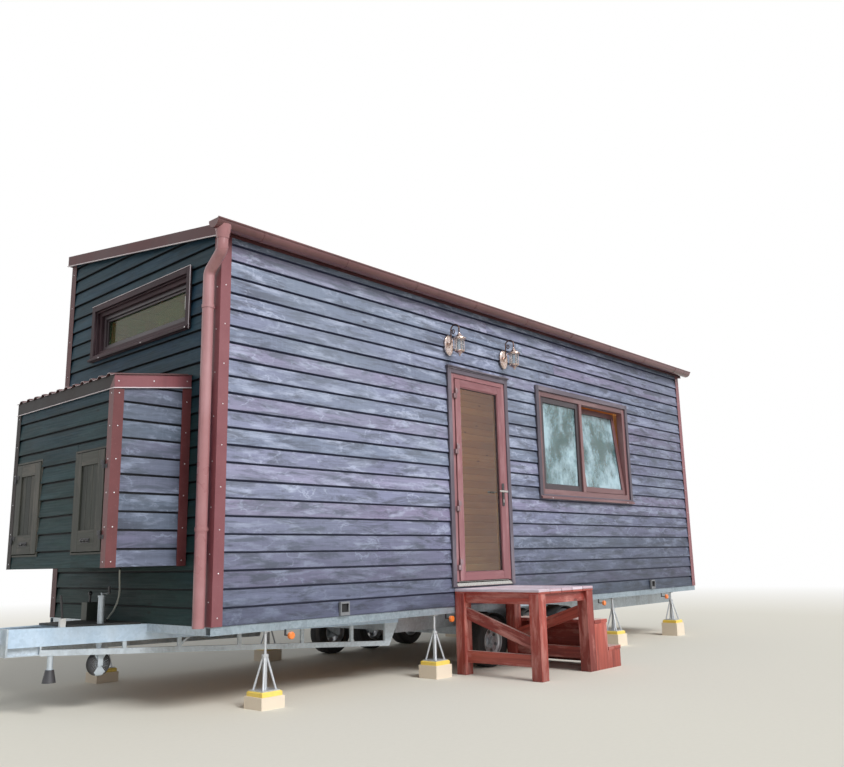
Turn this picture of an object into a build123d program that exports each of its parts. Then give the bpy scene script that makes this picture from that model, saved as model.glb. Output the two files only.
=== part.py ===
from build123d import *
import os
from math import atan2, cos, degrees, hypot, pi, radians, sin, tan

# Tiny house on a three-axle trailer, parked on jack stands with loose steps at its door.
# House frame, in millimetres: x runs along the front wall from the drawbar end, y from the
# front wall's face to the back, z up from the underside of the wall cladding.
# The pieces are moved to the middle of the footprint at ground level when they are written.

# House body
house_length = 7730
house_width = 2500
cladding_above_ground = 600
wall_thickness = 140
floor_underside = 20
floor_thickness = 140
eave_height = 2910
roof_pitch = 8.8
ground = -cladding_above_ground

# Roof
roof_thickness = 65
roof_front_overhang = 30
roof_back_overhang = 40
roof_side_overhang = 25
sheet_thickness = 3
rib_pitch = 240
rib_height = 18
rib_foot = 64
rib_crown = 26
sheet_drip = 30
flashing_thickness = 3
flashing_drop = 12
flashing_lap = 85

# Gutter and downpipe
gutter_radius = 63
gutter_wall = 2
gutter_drop = 8
gutter_tongue_play = 3
gutter_bead_radius = 8
gutter_left_run = 145
gutter_right_run = 76
gutter_bracket_pitch = 900
gutter_bracket_width = 26
gutter_bracket_thickness = 3
pipe_radius = 43
pipe_wall = 2
pipe_from_end_wall = 60
pipe_behind_front = 72
pipe_bottom = -5
neck_top = 2745
neck_bottom = 2605
neck_bend = 75
funnel_length = 75
saddle_length = 400
pipe_collar_heights = (2335, 678)
pipe_collar_width = 28
pipe_collar_step = 4
wall_pin_radius = 7

# Metal corner trims of the body
corner_face = 88
corner_thickness = 2

# Entrance door
door_left = 2660
door_width = 860
door_sill = 172
door_height = 2048
door_frame_face = 46
door_frame_depth = 80
door_frame_proud = 8
door_stop = 14
door_gap = 8
leaf_thickness = 56
leaf_proud = 18
leaf_stile = 74
leaf_bottom_rail = 74
glass_thickness = 22
glass_edge = 12
glass_setback = 20
hinge_radius = 9
hinge_length = 96
hinge_stand = 12
hinge_play = 0.4
hinge_pin_radius = 4
pin_play = 0.1
hinge_count = 4
hinge_inset = 150
handle_height = 1085
handle_from_edge = 44
plate_width = 34
plate_length = 230
plate_thickness = 8
spindle_radius = 5
spindle_play = 1
lever_length = 118
lever_radius = 9
lever_stand = 46

# Front window
window_left = 4157
window_width = 1923
window_sill = 1096
window_height = 1148
window_frame_face = 58
window_frame_depth = 78
mullion_place = 879
mullion_face = 52
sash_face = 62
sash_depth = 56
sash_play = 4
sash_tilt = 6

# Window in the drawbar end wall
loft_near = 452
loft_far = 1950
loft_sill = 2290
loft_height = 416
loft_frame_face = 46
loft_frame_setback = 24
loft_sash_face = 54
loft_sash_setback = 50
loft_pane_setback = 84
loft_frame_back = 118

# Timber trims round the openings
trim_width = 52
trim_thickness = 20
head_cap = 16
head_cap_proud = 16
sill_proud = 42
sill_thickness = 30

# Locker hung on the drawbar end wall
locker_near = 355
locker_far = 1960
locker_depth = 625
locker_bottom = 425
locker_top_at_wall = 1858
locker_pitch = 7.6
locker_wall = 30
locker_floor_thickness = 24
locker_sheet = 3
flute_pitch = 133
flute_height = 18
locker_lap = 14
fascia_depth = 96
fascia_thickness = 3
locker_corner_face = 76
hatch_width = 440
hatch_height = 722
hatch_bottom = 534
hatch_from_side = 72
hatch_thickness = 24
hatch_proud = 6
hatch_gap = 6
hatch_stile = 92
hatch_rail = 96
hatch_recess = 9
hatch_hinge_radius = 7
hatch_hinge_stand = 8
hatch_hinge_length = 60
hatch_hinge_inset = 110
hatch_pin_radius = 3
bolt_radius = 5
bolt_length = 120

# Trailer frame
side_rail_inset = 10
side_rail_width = 60
side_rail_height = 60
side_rail_wall = 6
cross_count = 12
cross_width = 50
cross_height = 60
main_beam_inset = 300
main_beam_width = 60
main_beam_height = 150
main_beam_short = 130
arm_rear_x = 2150
arm_rear_y = 262
arm_front_x = -925
arm_front_y = 1112
arm_bottom = -118
arm_front_top = 12
arm_kink_top = -2
arm_taper_start = -10
arm_taper_end = 420
arm_plate = 8
arm_flange = 46
cover_plate_rear = -40
cover_plate_front = -545
cover_plate_thickness = 14
brace_rear_height = -290
brace_front_height = -163
brace_rear = 2058
brace_front = -715
brace_height = 42
brace_width = 32
post_size = 28
post_places = (-150, 250, 720, 1250, 1700)
gusset_length = 110
nose_pocket_bottom = -178
stay_top = 330
stay_bottom = 225
stay_width = 24

# Overrun coupling
coupling_height = -52
coupling_end = -1560
coupling_width = 108
coupling_depth = 104
coupling_body_length = 330
nose_plate = 12
coupling_shaft_radius = 25
bellows_radius = 42
bellows_count = 7
ball_head_length = 170
ball_radius = 25

# Drawbar fittings
brake_place = -575
brake_base = 40
brake_base_height = 62
brake_length = 165
brake_radius = 8
jockey_place = -292
jockey_tube_radius = 24
jockey_clearance = 8
jockey_clamp_rear = 8
jockey_top = 214
jockey_wheel_radius = 88
jockey_wheel_width = 46
jockey_wheel_height = -272
foot_place = -640
foot_bottom = -372
foot_radius = 48
valve_place = -110
valve_post = 92
valve_height = 138
valve_stem = 62

# Running gear
axle_first = 3230
axle_spacing = 635
axle_count = 3
tyre_radius = 240
tyre_width = 188
tyre_shoulder = 26
rim_radius = 132
rim_dish = 40
wheel_inset = 16
hub_radius = 62
stub_radius = 20
stub_play = 0.1
rim_hole_count = 6
rim_hole_radius = 23
axle_tube = 70
axle_tube_height = -258
axle_lead = 150
swing_arm_thickness = 24
mudguard_radius = 268
mudguard_thickness = 4
mudguard_span = 78

# Jack stands
stand_places = (500, 2390, house_length - 2170, house_length - 670)
stand_plate_heights = (-480, -455, -435, -410)
stand_inset = 42
stand_height = 244
stand_tube_radius = 17
stand_screw_radius = 10
stand_leg_radius = 8
stand_leg_spread = 64
stand_base = 160
stand_base_thickness = 8
plate_side = 185
plate_depth = 34
block_side = 210

# Small pieces on the walls
lamp_places = (682, 2544, house_length - 2488, house_length - 935)
lamp_height = -104
lamp_radius = 28
lamp_thickness = 26
lamp_reach = 24
lamp_arm = 14
inlet_places = (1244, house_length - 1237)
inlet_height = 56
inlet_width = 100
inlet_depth = 22
lantern_clearance = 198
lantern_left_of_door = 20
lantern_right_of_door = 16
lantern_plate_radius = 95
lantern_plate_thickness = 12
lantern_rim = 12
lantern_rim_step = 6
lantern_reach = 150
lantern_arm_radius = 7
lantern_arm_rise = 200
lantern_arm_stand = 44
lantern_arm_bend = 30
lantern_cap_radius = 62
lantern_cap_height = 53
lantern_glass_drop = 82
lantern_glass_radius = 40
lantern_glass_height = 124
lantern_bars = 6

# Steps at the door
step_left = 2640
step_width = 880
step_reach = 940
step_top = 158
deck_thickness = 40
deck_boards = 5
deck_gap = 6
leg_side = 106
step_rail = 104
step_rail_thickness = 40
low_rail_top = -388
brace_fall = 240
tread_run = 222
tread_heights = (-152, -408)
tread_thickness = 34
stringer_thickness = 34
apron_depth = 88

# Gas hose from a gland under the locker floor to one on the drawbar's cover plate
hose_radius = 7
gland_radius = 10
gland_length = 25
hose_route = [
    (-57, 1200, 405), (-57, 1200, 352), (-52, 1200, 298), (-50, 1199, 245), (-55, 1199, 193),
    (-70, 1198, 143), (-93, 1197, 99), (-121, 1195, 61), (-149, 1193, 30),
]

roof_rise = tan(radians(roof_pitch))
locker_fall = tan(radians(locker_pitch))
door_right = door_left + door_width
door_top = door_sill + door_height
window_right = window_left + window_width
window_top = window_sill + window_height
loft_top = loft_sill + loft_height
lantern_height = door_top + trim_width + head_cap + lantern_clearance
lantern_places = (door_left - lantern_left_of_door, door_right + lantern_right_of_door)
gutter_y = -roof_front_overhang - flashing_thickness - gutter_radius
arm_angle = atan2(arm_front_y - arm_rear_y, arm_rear_x - arm_front_x)
wheel_y = wheel_inset + tyre_width / 2
hub_height = ground + tyre_radius


def under_roof(y):
    """Height of the roof panel's underside at a distance behind the front wall's face."""
    return eave_height + roof_rise * y


def under_locker_roof(x):
    """Height of the locker roof's underside, which falls away from the house."""
    return locker_top_at_wall + locker_fall * x


gutter_z = under_roof(-roof_front_overhang) + roof_thickness - gutter_drop


def block(x0, x1, y0, y1, z0, z1):
    """Box between two corners."""
    middle = Pos((x0 + x1) / 2, (y0 + y1) / 2, (z0 + z1) / 2)
    return middle * Box(x1 - x0, y1 - y0, z1 - z0)


def along_x(points, x0, x1):
    """Outline in y and z, drawn out from x0 to x1."""
    outline = Plane.YZ * make_face(Polyline(*points, close=True))
    return Pos(x0, 0, 0) * extrude(outline, amount=x1 - x0)


def along_y(points, y0, y1):
    """Outline in x and z, drawn out from y0 to y1."""
    outline = Plane.XZ * make_face(Polyline(*points, close=True))
    return Pos(0, y1, 0) * extrude(outline, amount=y1 - y0)


def along_z(points, z0, z1):
    """Outline in x and y, drawn out from z0 to z1."""
    outline = make_face(Polyline(*points, close=True))
    return Pos(0, 0, z0) * extrude(outline, amount=z1 - z0)


def rod(start, end, radius):
    """Round bar between two points."""
    line = Line(start, end)
    return sweep(Plane(line ^ 0) * Circle(radius), path=line)


def to_far_side(piece):
    """The same piece mirrored to the back of the house."""
    return mirror(piece, about=Plane.XZ.offset(-house_width / 2))


def join(pieces):
    """Fuses pieces that meet."""
    whole = pieces[0]
    for piece in pieces[1:]:
        whole = whole + piece
    return whole


def group(pieces):
    """Keeps pieces that do not meet as separate solids of one node."""
    solids = []
    for piece in pieces:
        solids.extend(piece.solids())
    return Compound(solids)


def open_frame(x0, x1, z0, z1, face, y0, y1, sill_face=None):
    """Rectangular frame in the front wall's plane."""
    low = face if sill_face is None else sill_face
    whole = block(x0, x1, y0, y1, z0, z1)
    return whole - block(x0 + face, x1 - face, y0 - 1, y1 + 1, z0 + low, z1 - face)


# Walls, floor and roof


def front_wall_outline(bottom):
    return [
        (0, bottom),
        (wall_thickness, bottom),
        (wall_thickness, under_roof(wall_thickness)),
        (0, under_roof(0)),
    ]


def make_front_wall_left():
    return along_x(front_wall_outline(0), 0, door_left)


def make_front_wall_right():
    wall = along_x(front_wall_outline(0), door_right, house_length)
    return wall - block(window_left, window_right, -1, wall_thickness + 1, window_sill, window_top)


def make_front_wall_over_door():
    return along_x(front_wall_outline(door_top), door_left, door_right)


def make_front_wall_under_door():
    return block(door_left, door_right, 0, wall_thickness, 0, door_sill)


def make_back_wall():
    inner = house_width - wall_thickness
    outline = [
        (inner, 0),
        (house_width, 0),
        (house_width, under_roof(house_width)),
        (inner, under_roof(inner)),
    ]
    return along_x(outline, 0, house_length)


def make_end_wall(x0):
    near = wall_thickness
    far = house_width - wall_thickness
    outline = [(near, 0), (far, 0), (far, under_roof(far)), (near, under_roof(near))]
    return along_x(outline, x0, x0 + wall_thickness)


def make_left_end_wall():
    opening = block(-1, wall_thickness + 1, loft_near, loft_far, loft_sill, loft_top)
    return make_end_wall(0) - opening


def make_floor_deck():
    t = wall_thickness
    top = floor_underside + floor_thickness
    return block(t, house_length - t, t, house_width - t, floor_underside, top)


def make_roof_panel():
    front = -roof_front_overhang
    back = house_width + roof_back_overhang
    outline = [
        (front, under_roof(front)),
        (back, under_roof(back)),
        (back, under_roof(back) + roof_thickness),
        (front, under_roof(front) + roof_thickness),
    ]
    return along_x(outline, -roof_side_overhang, house_length + roof_side_overhang)


def make_roof_sheet():
    """Trapezoidal sheet with its ribs running down the slope."""
    x0 = -roof_side_overhang
    x1 = house_length + roof_side_overhang
    count = int((x1 - x0 - rib_foot) / rib_pitch)
    first = (x0 + x1 - count * rib_pitch) / 2
    upper = [(x0, sheet_thickness)]
    for number in range(count + 1):
        middle = first + number * rib_pitch
        upper.append((middle - rib_foot / 2, sheet_thickness))
        upper.append((middle - rib_crown / 2, rib_height))
        upper.append((middle + rib_crown / 2, rib_height))
        upper.append((middle + rib_foot / 2, sheet_thickness))
    upper.append((x1, sheet_thickness))
    outline = make_face(Polyline((x0, 0), *upper, (x1, 0), close=True))
    front = -roof_front_overhang - sheet_drip
    back = house_width + roof_back_overhang
    run = back - front
    slope = Vector(0, 1, roof_rise)
    sheet = extrude(Plane.XZ * outline, amount=run * hypot(1, roof_rise), dir=slope)
    return Pos(0, front, under_roof(front) + roof_thickness) * sheet


def make_roof_edge_trims():
    """Folded flashings over the two verges, and flat ones on the eaves."""
    front = -roof_front_overhang
    back = house_width + roof_back_overhang
    top = roof_thickness + rib_height + 1
    out = roof_side_overhang + flashing_thickness
    t = flashing_thickness
    profile = [
        (-out - 8, -flashing_drop),
        (-out + t, -flashing_drop),
        (-out + t, top),
        (-out + flashing_lap, top),
        (-out + flashing_lap, top + t),
        (-out, top + t),
        (-out, -flashing_drop + t),
        (-out - 8, -flashing_drop + t),
    ]
    slope = Vector(0, 1, roof_rise)
    length = (back - front) * hypot(1, roof_rise)
    verges = []
    for points in (profile, [(house_length - x, z) for x, z in profile]):
        outline = Plane.XZ * make_face(Polyline(*points, close=True))
        verges.append(Pos(0, front, under_roof(front)) * extrude(outline, amount=length, dir=slope))
    x0 = -roof_side_overhang + 1
    x1 = house_length + roof_side_overhang - 1
    low_front = under_roof(front)
    low_back = under_roof(back)
    front_strip = block(x0, x1, front - t, front, low_front - flashing_drop, low_front + roof_thickness - 6)
    back_strip = block(x0, x1, back, back + t, low_back - flashing_drop, low_back + roof_thickness)
    return group(verges + [front_strip, back_strip])


def make_gutter():
    """Half-round gutter with a rolled front bead, closed ends and strap brackets."""
    x0 = -gutter_left_run
    x1 = house_length + gutter_right_run
    outer = Pos(0, gutter_y, gutter_z) * Rot(0, 90, 0) * Cylinder(
        gutter_radius, x1 - x0, align=(Align.CENTER, Align.CENTER, Align.MIN))
    inner = Pos(0, gutter_y, gutter_z) * Rot(0, 90, 0) * Cylinder(
        gutter_radius - gutter_wall, x1 - x0 - 2 * gutter_wall,
        align=(Align.CENTER, Align.CENTER, Align.MIN))
    trough = Pos(x0, 0, 0) * outer - Pos(x0 + gutter_wall, 0, 0) * inner
    above = block(x0 - 1, x1 + 1, gutter_y - gutter_radius - 1, gutter_y + gutter_radius + 1,
                  gutter_z, gutter_z + gutter_radius + 1)
    trough = trough - above
    bead = rod((x0, gutter_y - gutter_radius, gutter_z), (x1, gutter_y - gutter_radius, gutter_z),
               gutter_bead_radius)
    outlet = Pos(-pipe_from_end_wall, gutter_y, gutter_z - gutter_radius) * Cylinder(pipe_radius - 2, 40)
    gutter = trough + bead - outlet
    count = round((x1 - x0) / gutter_bracket_pitch)
    spacing = (x1 - x0) / count
    for number in range(count):
        middle = x0 + spacing * (number + 0.5)
        strap = Pos(middle, gutter_y, gutter_z) * Rot(0, 90, 0) * Cylinder(
            gutter_radius + gutter_bracket_thickness, gutter_bracket_width)
        strap = strap - Pos(middle, gutter_y, gutter_z) * Rot(0, 90, 0) * Cylinder(
            gutter_radius - gutter_wall / 2, gutter_bracket_width + 2)
        strap = strap - block(middle - gutter_bracket_width, middle + gutter_bracket_width,
                              gutter_y - 2 * gutter_radius, gutter_y + 2 * gutter_radius,
                              gutter_z, gutter_z + 2 * gutter_radius)
        hook_y = gutter_y + gutter_radius - gutter_wall
        strap = strap - block(middle - gutter_bracket_width, middle + gutter_bracket_width,
                              gutter_y + gutter_radius, gutter_y + 2 * gutter_radius,
                              gutter_z - 2 * gutter_radius, gutter_z)
        tongue = block(middle - gutter_bracket_width / 2, middle + gutter_bracket_width / 2,
                       hook_y, gutter_y + gutter_radius, gutter_z - 14,
                       gutter_z + gutter_drop - gutter_tongue_play)
        gutter = gutter + strap + tongue
    return gutter


def make_downpipe():
    """Funnel, swan neck and pipe in one run, with two collars pinned to the end wall."""
    x = -pipe_from_end_wall
    top = gutter_z - gutter_radius + 4
    funnel_foot = top - funnel_length
    path = FilletPolyline((x, gutter_y, funnel_foot + 20), (x, gutter_y, neck_top),
                          (x, pipe_behind_front, neck_bottom), (x, pipe_behind_front, pipe_bottom),
                          radius=neck_bend)
    pipe = sweep(Plane(path ^ 0) * Circle(pipe_radius), path=path)
    bore = sweep(Plane(path ^ 0) * Circle(pipe_radius - pipe_wall), path=path)
    funnel = Pos(x, gutter_y, funnel_foot) * Cone(
        pipe_radius + 3, gutter_radius + 1, funnel_length + 30,
        align=(Align.CENTER, Align.CENTER, Align.MIN))
    mouth = Pos(x, gutter_y, funnel_foot) * Cone(
        pipe_radius - pipe_wall, gutter_radius - 3, funnel_length + 30,
        align=(Align.CENTER, Align.CENTER, Align.MIN))
    saddle = Pos(x, gutter_y, gutter_z) * Rot(0, 90, 0) * Cylinder(gutter_radius + 0.3, saddle_length)
    whole = (pipe - bore) + (funnel - mouth - saddle)
    for height in pipe_collar_heights:
        collar = Pos(x, pipe_behind_front, height) * Cylinder(
            pipe_radius + pipe_collar_step, pipe_collar_width)
        core = Pos(x, pipe_behind_front, height) * Cylinder(pipe_radius - 1, pipe_collar_width + 2)
        pin = rod((x + pipe_radius, pipe_behind_front, height), (-corner_thickness, pipe_behind_front, height),
                  wall_pin_radius)
        whole = whole + (collar - core) + pin
    return whole


def make_corner_trims():
    """Folded metal angles on the four corners of the body."""
    t = corner_thickness
    near_top = under_roof(-t) - 1
    far_top = under_roof(house_width - corner_face) - 1
    angle = [(-t, -t), (corner_face, -t), (corner_face, 0), (0, 0), (0, corner_face), (-t, corner_face)]
    trims = []
    for points in (angle, [(house_length - x, y) for x, y in angle]):
        trims.append(along_z(points, 0, near_top))
        trims.append(along_z([(x, house_width - y) for x, y in points], 0, far_top))
    return group(trims)


# Entrance door


def leaf_limits():
    x0 = door_left + door_frame_face + door_gap
    x1 = door_right - door_frame_face - door_gap
    z0 = door_sill + door_frame_face + door_gap
    z1 = door_top - door_frame_face - door_gap
    return x0, x1, z0, z1


def hinge_heights():
    x0, x1, z0, z1 = leaf_limits()
    step = (z1 - z0 - 2 * hinge_inset) / (hinge_count - 1)
    return [z0 + hinge_inset + step * number for number in range(hinge_count)]


def hinge_axis():
    x = door_left + door_frame_face + door_gap / 2
    y = -leaf_proud - hinge_stand
    return x, y


def make_door_frame():
    """Frame with a stop behind the leaf, a metal sill face and the fixed hinge halves."""
    y0 = -door_frame_proud
    y1 = door_frame_depth - door_frame_proud
    frame = open_frame(door_left, door_right, door_sill, door_top, door_frame_face, y0, y1)
    stop_y = leaf_thickness - leaf_proud + door_gap - 2
    stop = open_frame(door_left + door_frame_face - 1, door_right - door_frame_face + 1,
                      door_sill + door_frame_face - 1, door_top - door_frame_face + 1,
                      door_stop + door_gap, stop_y, y1)
    x, y = hinge_axis()
    frame = frame + stop
    for height in hinge_heights():
        low = height - hinge_length / 2
        barrel = rod((x, y, low), (x, y, height), hinge_radius)
        pin = rod((x, y, low), (x, y, height + hinge_length * 0.4), hinge_pin_radius)
        plate = block(x - 32, x - hinge_radius / 2, y - 2, y + 4, low, height)
        foot = block(x - 32, x - 14, y, y0, low, height)
        frame = frame + barrel + plate + foot + pin
    return frame


def make_door_leaf():
    """Stiles and rails round one tall pane, with the upper hinge halves."""
    x0, x1, z0, z1 = leaf_limits()
    y0 = -leaf_proud
    y1 = leaf_thickness - leaf_proud
    leaf = open_frame(x0, x1, z0, z1, leaf_stile, y0, y1, leaf_bottom_rail)
    pane = y0 + glass_setback
    pocket = block(x0 + leaf_stile - glass_edge, x1 - leaf_stile + glass_edge, pane, pane + glass_thickness,
                   z0 + leaf_bottom_rail - glass_edge, z1 - leaf_stile + glass_edge)
    leaf = leaf - pocket
    hole = rod((x1 - handle_from_edge, y0 - 1, handle_height), (x1 - handle_from_edge, y1 + 1, handle_height),
               spindle_radius + spindle_play)
    x, y = hinge_axis()
    leaf = leaf - hole
    for height in hinge_heights():
        low = height + hinge_play
        high = height + hinge_length / 2
        barrel = rod((x, y, low), (x, y, high), hinge_radius)
        bore = rod((x, y, low - 1), (x, y, height + hinge_length * 0.42), hinge_pin_radius + pin_play)
        plate = block(x + hinge_radius / 2, x + 32, y - 2, y + 4, low, high)
        foot = block(x + 14, x + 32, y, y0, low, high)
        leaf = leaf + (barrel + plate + foot - bore)
    return leaf


def make_door_glass():
    x0, x1, z0, z1 = leaf_limits()
    pane = glass_setback - leaf_proud
    return block(x0 + leaf_stile - glass_edge, x1 - leaf_stile + glass_edge, pane, pane + glass_thickness,
                 z0 + leaf_bottom_rail - glass_edge, z1 - leaf_stile + glass_edge)


def handle_place():
    x0, x1, z0, z1 = leaf_limits()
    return x1 - handle_from_edge, handle_height


def make_door_plates():
    """Long plates on both faces of the leaf, bored for the spindle."""
    x, z = handle_place()
    plates = []
    for y0 in (-leaf_proud - plate_thickness, leaf_thickness - leaf_proud):
        plate = block(x - plate_width / 2, x + plate_width / 2, y0, y0 + plate_thickness,
                      z - plate_length * 0.62, z + plate_length * 0.38)
        plate = fillet(plate.edges().filter_by(Axis.Y), plate_width / 2 - 1)
        plates.append(plate - rod((x, y0 - 1, z), (x, y0 + plate_thickness + 1, z), spindle_radius + spindle_play))
    return group(plates)


def make_door_lever():
    """Two levers on one spindle through the leaf."""
    x, z = handle_place()
    outside = -leaf_proud - plate_thickness - lever_stand
    inside = leaf_thickness - leaf_proud + plate_thickness + lever_stand
    spindle = rod((x, outside, z), (x, inside, z), spindle_radius)
    pieces = [spindle]
    for y in (outside, inside):
        side = 1 if y < 0 else -1
        neck = rod((x, y, z), (x, y + side * (lever_stand - 4), z), lever_radius)
        grip = block(x - lever_length, x + lever_radius + 2, y - 7, y + 7, z - lever_radius - 1, z + lever_radius + 1)
        pieces.extend([neck, fillet(grip.edges(), 5)])
    return join(pieces)


# Windows


def make_window_frame():
    """Outer frame with one mullion between the two sashes."""
    frame = open_frame(window_left, window_right, window_sill, window_top, window_frame_face,
                       0, window_frame_depth)
    middle = window_left + mullion_place
    mullion = block(middle - mullion_face / 2, middle + mullion_face / 2, 0, window_frame_depth,
                    window_sill + window_frame_face, window_top - window_frame_face)
    return frame + mullion


def sash_fields():
    """Clear fields of the front window, left and right of the mullion."""
    middle = window_left + mullion_place
    z0 = window_sill + window_frame_face
    z1 = window_top - window_frame_face
    left = (window_left + window_frame_face, middle - mullion_face / 2, z0, z1)
    right = (middle + mullion_face / 2, window_right - window_frame_face, z0, z1)
    return left, right


def sash_back():
    return window_frame_depth - 6


def make_sash(field, play):
    x0, x1, z0, z1 = field
    y1 = sash_back()
    y0 = y1 - sash_depth
    sash = open_frame(x0 + play, x1 - play, z0, z1 - play, sash_face, y0, y1)
    return sash - make_pane(field, play)


def make_pane(field, play):
    x0, x1, z0, z1 = field
    inset = play + sash_face - glass_edge
    y0 = sash_back() - sash_depth + 16
    foot = z0 + sash_face - glass_edge
    return block(x0 + inset, x1 - inset, y0, y0 + glass_thickness, foot, z1 - inset)


def tilt_inward(piece, field):
    """Leans a piece into the room about the sash's lower inner edge."""
    x0, x1, z0, z1 = field
    foot = Pos(0, sash_back(), z0)
    return foot * Rot(-sash_tilt, 0, 0) * foot.inverse() * piece


def make_window_sashes():
    left, right = sash_fields()
    return group([make_sash(left, 0), tilt_inward(make_sash(right, sash_play), right)])


def make_window_panes():
    left, right = sash_fields()
    return group([make_pane(left, 0), tilt_inward(make_pane(right, sash_play), right), make_loft_pane()])


def loft_block(x0, x1, inset):
    """Block as deep as wanted, inside the loft window's opening."""
    return block(x0, x1, loft_near + inset, loft_far - inset, loft_sill + inset, loft_top - inset)


def make_loft_pane():
    inset = loft_frame_face + loft_sash_face - glass_edge
    return loft_block(loft_pane_setback, loft_pane_setback + glass_thickness, inset)


def make_loft_window_frame():
    """Outer frame set back in the wall, with a sash ring inside it."""
    outer = loft_block(loft_frame_setback, loft_frame_back, 0)
    outer = outer - loft_block(loft_frame_setback - 1, loft_frame_back + 1, loft_frame_face)
    inner = loft_block(loft_sash_setback, loft_frame_back, loft_frame_face)
    inner = inner - loft_block(loft_sash_setback - 1, loft_frame_back + 1, loft_frame_face + loft_sash_face)
    return outer + inner - make_loft_pane()


def make_opening_trims():
    """Timber boards round the door, the front window and the end wall window."""
    w = trim_width
    t = trim_thickness
    door = block(door_left - w, door_right + w, -t, 0, door_sill, door_top + w)
    door = door - block(door_left, door_right, -t - 1, 1, door_sill - 1, door_top)
    cap = block(door_left - w - 14, door_right + w + 14, -t - head_cap_proud, 0,
                door_top + w, door_top + w + head_cap)
    window = open_frame(window_left - w, window_right + w, window_sill - w, window_top + w, w, -t, 0)
    sill = block(window_left - w, window_right + w, -sill_proud, -t,
                 window_sill - w, window_sill - w + sill_thickness)
    loft = block(-t, 0, loft_near - w, loft_far + w, loft_sill - w, loft_top + w)
    loft = loft - block(-t - 1, 1, loft_near, loft_far, loft_sill, loft_top)
    return group([door + cap, window + sill, loft])


# Locker


def locker_wall_outline(x0, x1, z0):
    return [(x0, z0), (x1, z0), (x1, under_locker_roof(x1)), (x0, under_locker_roof(x0))]


def make_locker_sides():
    inner = -locker_depth + locker_wall
    outline = locker_wall_outline(inner, 0, locker_bottom)
    near = along_y(outline, locker_near, locker_near + locker_wall)
    far = along_y(outline, locker_far - locker_wall, locker_far)
    return group([near, far])


def hatch_spans():
    near = (locker_near + hatch_from_side, locker_near + hatch_from_side + hatch_width)
    far = (locker_far - hatch_from_side - hatch_width, locker_far - hatch_from_side)
    return near, far


def hatch_hinge_heights():
    low = hatch_bottom + hatch_gap + hatch_hinge_inset
    high = hatch_bottom + hatch_height - hatch_gap - hatch_hinge_inset
    return low, high


def make_locker_front():
    """Outer wall of the locker with its two hatch openings."""
    x0 = -locker_depth
    x1 = x0 + locker_wall
    wall = along_y(locker_wall_outline(x0, x1, locker_bottom), locker_near, locker_far)
    for y0, y1 in hatch_spans():
        wall = wall - block(x0 - 1, x1 + 1, y0, y1, hatch_bottom, hatch_bottom + hatch_height)
    near, far = hatch_spans()
    axis_x = -locker_depth - hatch_proud - hatch_hinge_stand
    for edge, opening, into in ((near[0] + hatch_gap, near[0], 1), (far[1] - hatch_gap, far[1], -1)):
        for height in hatch_hinge_heights():
            low = height - hatch_hinge_length / 2
            barrel = rod((axis_x, edge, low), (axis_x, edge, height), hatch_hinge_radius)
            pin = rod((axis_x, edge, low), (axis_x, edge, height + hatch_hinge_length * 0.4), hatch_pin_radius)
            ends = sorted((opening - into * 7, opening + into))
            foot = block(axis_x, x0 + 1, ends[0], ends[1], low, height)
            wall = wall + barrel + foot + pin
    return wall


def make_locker_floor():
    """Floor board with the hose gland under it."""
    floor = block(-locker_depth + locker_wall, 0, locker_near + locker_wall, locker_far - locker_wall,
                  locker_bottom, locker_bottom + locker_floor_thickness)
    top = hose_route[0]
    return floor + rod(top, (top[0], top[1], locker_bottom + 2), gland_radius)


def make_locker_roof():
    """Corrugated sheet with its flutes running down the fall."""
    y0 = locker_near - locker_lap
    y1 = locker_far + locker_lap
    count = int((y1 - y0) / flute_pitch)
    margin = (y1 - y0 - count * flute_pitch) / 2
    half = flute_pitch / 4
    lower = [(y0, 0)]
    upper = [(y0, locker_sheet)]
    for number in range(count):
        start = y0 + margin + number * flute_pitch
        for share, height in ((0.0, 0), (0.5, flute_height), (1.5, flute_height), (2.0, 0)):
            lower.append((start + half * (share + 1), height))
            upper.append((start + half * (share + 1), height + locker_sheet))
    lower.append((y1, 0))
    upper.append((y1, locker_sheet))
    outline = Plane.YZ * make_face(Polyline(*lower, *reversed(upper), close=True))
    run = locker_depth + locker_lap
    sheet = extrude(outline, amount=run * hypot(1, locker_fall), dir=Vector(1, 0, locker_fall))
    start = -locker_depth - locker_lap
    return Pos(start, 0, under_locker_roof(start)) * sheet


def make_locker_trims():
    """Fascias under the locker roof, and the metal angles at its corners."""
    t = fascia_thickness
    face = locker_corner_face
    x0 = -locker_depth
    low = -fascia_depth
    front = block(x0 - t, x0, locker_near - t, locker_far + t,
                  under_locker_roof(x0) + low, under_locker_roof(x0) - 1)
    slope_outline = [
        (x0, under_locker_roof(x0) + low),
        (-t, under_locker_roof(-t) + low),
        (-t, under_locker_roof(-t) - 1),
        (x0, under_locker_roof(x0) - 1),
    ]
    near = along_y(slope_outline, locker_near - t, locker_near)
    far = along_y(slope_outline, locker_far, locker_far + t)
    near_corner = [
        (x0 - t, locker_near - t), (x0 + face, locker_near - t), (x0 + face, locker_near),
        (x0, locker_near), (x0, locker_near + hatch_from_side - 8), (x0 - t, locker_near + hatch_from_side - 8),
    ]
    middle = (locker_near + locker_far) / 2
    far_corner = [(x, 2 * middle - y) for x, y in near_corner]
    top = under_locker_roof(x0) + low
    corners = [along_z(outline, locker_bottom, top) for outline in (near_corner, far_corner)]
    wall_angle = [
        (-face, locker_near - t), (0, locker_near - t), (0, locker_near), (-face, locker_near),
    ]
    far_angle = [(x, 2 * middle - y) for x, y in wall_angle]
    top_at_wall = under_locker_roof(-face) + low
    angles = [along_z(outline, locker_bottom, top_at_wall) for outline in (wall_angle, far_angle)]
    return join([front, near, far] + corners + angles)


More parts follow.
